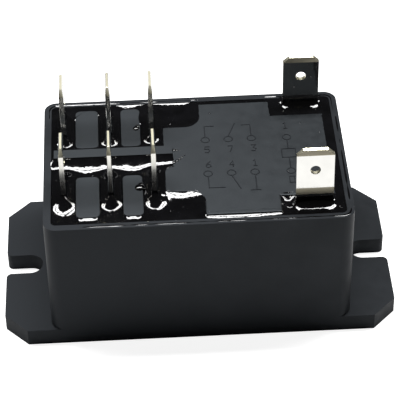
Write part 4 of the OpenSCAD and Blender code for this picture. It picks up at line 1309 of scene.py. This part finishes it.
def coin_tip(bm, sizes):
    """Draws in both faces of a tab towards its tip, which falls a little to the front"""
    tip = max(vert.co.z for vert in bm.verts)
    fold = tip - sizes.coin_height
    split_at(bm, fold)
    above = [vert for vert in bm.verts if vert.co.z > fold - MERGE]
    middle = sum(vert.co.y for vert in above) / len(above)
    for vert in above:
        side = math.copysign(1, vert.co.y - middle)
        if vert.co.z > tip - MERGE:
            vert.co.y = middle + side * sizes.tip_width / 2
            vert.co.z -= sizes.tip_fall * (side < 0)
        else:
            vert.co.y -= side * sizes.coin_depth * (vert.co.z - fold) / sizes.coin_height


def mark_tab(mesh, node, sizes, side_cut):
    """Attributes of a tab: its stamped edges, the tip's more than the upright ones, and its coined tip, to
    which the leaning tab adds a band painted darker as a painted reflection of the rim
    """
    co = np.array([vert.co for vert in mesh.vertices])
    size = np.ptp(co[co[:, 2] > RIM_Z], axis=0)
    across = 0 if size[0] < size[1] else 1
    fold = co[:, 2].max() - (sizes.coin_height if node in COIL_TABS else 0.0)
    low, high = rim_shade_band(sizes) if node == LEANING_TAB else (0.0, 0.0)
    cut, coined = [], []
    for face in mesh.polygons:
        edge_share = 1.0 if face.normal.z > TIP_SHARE else side_cut
        cut.append(0.0 if abs(face.normal[across]) > SIDE_SHARE else edge_share)
        # Painted reflection of the rim: the leaning tab's band is marked together with the coined tip, so
        # it is painted darker
        coined_or_rim_shaded = face.center.z > fold or low < face.center.z < high
        coined.append(float(coined_or_rim_shaded and face.normal.z < SIDE_SHARE))
    for name, values in (("cut_edge", cut), ("coined", coined)):
        mesh.attributes.new(name, "FLOAT", "FACE").data.foreach_set("value", values)


def dress_all(names, slot, radius):
    for name in names:
        dress(name, slot, radius)


class RELAY_OT_contacts(bpy.types.Operator):
    """Finish the fixed and moving contacts"""

    bl_idname = "relay.contacts"
    bl_label = "Contacts"

    def execute(self, context):
        names = [kind + "_contact_" + row for kind in ("nc", "no", "moving") for row in ("front", "back")]
        dress_all(names, "contact_silver", context.scene.relay_sizes.metal_edge)
        return {"FINISHED"}


class RELAY_OT_blades(bpy.types.Operator):
    """Finish the moving blades and their rivets"""

    bl_idname = "relay.blades"
    bl_label = "Moving blades"

    def execute(self, context):
        edge = context.scene.relay_sizes.metal_edge
        dress_all(["moving_blade_front", "moving_blade_back"], "blade_copper", edge)
        dress_all(["blade_rivet_front", "blade_rivet_back"], "rivet_brass", edge)
        return {"FINISHED"}


class RELAY_OT_magnet(bpy.types.Operator):
    """Finish the yoke, the core, the armature, the card and the bobbin"""

    bl_idname = "relay.magnet"
    bl_label = "Magnet and card"

    def execute(self, context):
        sizes = context.scene.relay_sizes
        dress_all(["yoke", "core", "armature"], "iron", sizes.metal_edge)
        dress("card", "card_plastic", sizes.card_edge)
        dress("bobbin", "bobbin_plastic", sizes.card_edge)
        return {"FINISHED"}


class RELAY_OT_winding(bpy.types.Operator):
    """Wind the coil"""

    bl_idname = "relay.winding"
    bl_label = "Winding"

    def execute(self, context):
        wire = context.scene.relay_sizes.wire_size
        low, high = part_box("winding")
        middle = (low + high) / 2
        outer = (high.z - low.z) / 2
        run = high.x - low.x - wire
        mesh = helix_tree().run(
            "winding_wound", bpy.data.meshes.new("winding_seed"), "coil_copper",
            Turns=run / wire, Radius=outer - wire / 2, Length=run, Wire=wire / 2, Sides=WIRE_SIDES,
        )
        mesh.transform(Matrix.Translation((low.x + wire / 2, middle.y, middle.z)))
        bm = bmesh.new()
        bm.from_mesh(mesh)
        inner = min((vert.co - middle).yz.length for vert in frame["nodes"]["winding"].data.vertices)
        sleeve(bm, low, high, outer - wire, inner)
        bm.to_mesh(mesh)
        bm.free()
        add_piece("winding_wound", smooth_by_angle(mesh), "root", "coil_copper", ("winding",))
        return {"FINISHED"}


class RELAY_OT_wires(bpy.types.Operator):
    """Finish the coil leads and the return spring, which keep their CAD meshes"""

    bl_idname = "relay.wires"
    bl_label = "Leads and spring"

    def execute(self, context):
        for node in ("coil_lead_front", "coil_lead_back", "return_spring"):
            materials = frame["nodes"][node].data.materials
            materials.clear()
            materials.append(finish_of("spring_steel" if node == "return_spring" else "coil_copper"))
        return {"FINISHED"}


class RELAY_OT_stage(bpy.types.Operator):
    """Set up the camera, the white floor and the light box"""

    bl_idname = "relay.stage"
    bl_label = "Stage"

    def execute(self, context):
        stage = context.scene.relay_stage
        add_camera(stage)
        add_floor(stage)
        add_light_box(stage)
        add_studio(stage)
        context.scene.view_settings.view_transform = "Standard"
        return {"FINISHED"}


# The camera's place in millimetres and its axes, solved from the photograph's corners
CAMERA_PLACE = (-9.186, -247.456, 234.120)
CAMERA_RIGHT = (0.99851387, -0.05264524, -0.01408987)
CAMERA_UP = (0.04530249, 0.65809667, 0.75156933)


# The floor's colour and how far it lies under the part
FLOOR_PAINT, FLOOR_GAP = (0.72, 0.72, 0.72), 0.02 * MM


def add_camera(stage):
    data = bpy.data.cameras.new("camera")
    data.sensor_width = 36.0
    data.lens = stage.lens
    data.clip_start = 0.01
    data.clip_end = 20.0
    camera = placed("camera", data)
    right, up = Vector(CAMERA_RIGHT), Vector(CAMERA_UP)
    turn = Matrix((right, up, right.cross(up))).transposed().to_4x4()
    camera.matrix_world = Matrix.Translation(Vector(CAMERA_PLACE) * MM) @ turn
    bpy.context.scene.camera = camera


def add_floor(stage):
    """A round white floor that keeps the part's soft shadow"""
    bm = bmesh.new()
    bmesh.ops.create_circle(bm, cap_ends=True, segments=96, radius=stage.floor_radius)
    bmesh.ops.translate(bm, verts=bm.verts, vec=(0, 0, -FLOOR_GAP))
    floor = placed("floor", as_mesh(bm, "floor"))
    material = bpy.data.materials.new("white_floor")
    material.use_nodes = True
    nodes = Nodes(material.node_tree)
    seen = nodes.node("ShaderNodeLightPath").outputs["Is Camera Ray"]
    glow = nodes.node("ShaderNodeEmission", Strength=nodes.maths("MULTIPLY", seen, stage.floor_fill))
    paint = nodes.node("ShaderNodeBsdfDiffuse", Color=FLOOR_PAINT)
    nodes.node("ShaderNodeOutputMaterial", Surface=nodes.node("ShaderNodeAddShader", None, (paint, glow)))
    floor.data.materials.append(material)


def add_light_box(stage):
    """A wide light box behind the zenith, of two panes with a dark gap between them"""
    offset = (stage.box_deep + stage.box_gap) / 2
    for name, side in (("light_pane_front", -1), ("light_pane_back", 1)):
        data = bpy.data.lights.new(name, "AREA")
        data.shape = "RECTANGLE"
        data.size = stage.box_wide
        data.size_y = stage.box_deep
        data.energy = stage.box_glow * math.pi * stage.box_wide * stage.box_deep
        turn = Matrix.Rotation(-stage.box_tilt, 4, "X")
        placed(name, data).matrix_world = turn @ Matrix.Translation((0, side * offset, stage.box_away))


def add_studio(stage):
    """A dark studio: white where the camera looks past the floor, dim in all else"""
    world = bpy.data.worlds.new("studio")
    bpy.context.scene.world = world
    world.use_nodes = True
    nodes = Nodes(world.node_tree)
    seen = nodes.node("ShaderNodeLightPath").outputs["Is Camera Ray"]
    sky = nodes.node("ShaderNodeBackground", Strength=nodes.spread(seen, stage.sky, 1.0, 0.0, 1.0))
    nodes.node("ShaderNodeOutputWorld", Surface=sky)


PIECE_OPERATORS = (
    RELAY_OT_case, RELAY_OT_base, RELAY_OT_diagram, RELAY_OT_potting, RELAY_OT_bubbles, RELAY_OT_film,
    RELAY_OT_tabs, RELAY_OT_contacts, RELAY_OT_blades, RELAY_OT_magnet, RELAY_OT_winding,
    RELAY_OT_wires, RELAY_OT_stage,
)


class RELAY_PT_pieces(bpy.types.Panel):
    """Lists the relay's pieces"""

    bl_idname = "RELAY_PT_pieces"
    bl_label = "Power relay"
    bl_space_type = "VIEW_3D"
    bl_region_type = "UI"
    bl_category = "Relay"

    def draw(self, context):
        for operator in PIECE_OPERATORS:
            self.layout.operator(operator.bl_idname)
        for group in (context.scene.relay_sizes, context.scene.relay_finish, context.scene.relay_stage):
            for key in group.__annotations__:
                self.layout.prop(group, key)


CLASSES = (RelaySizes, RelayFinish, RelayStage, *PIECE_OPERATORS, RELAY_PT_pieces)


def register():
    for cls in CLASSES:
        bpy.utils.register_class(cls)
    bpy.types.Scene.relay_sizes = bpy.props.PointerProperty(type=RelaySizes)
    bpy.types.Scene.relay_finish = bpy.props.PointerProperty(type=RelayFinish)
    bpy.types.Scene.relay_stage = bpy.props.PointerProperty(type=RelayStage)


def unregister():
    del bpy.types.Scene.relay_sizes
    del bpy.types.Scene.relay_finish
    del bpy.types.Scene.relay_stage
    for cls in reversed(CLASSES):
        bpy.utils.unregister_class(cls)


def main():
    register()
    for operator in PIECE_OPERATORS:
        getattr(bpy.ops.relay, operator.bl_idname.split(".")[1])()


if __name__ == "__main__":
    main()
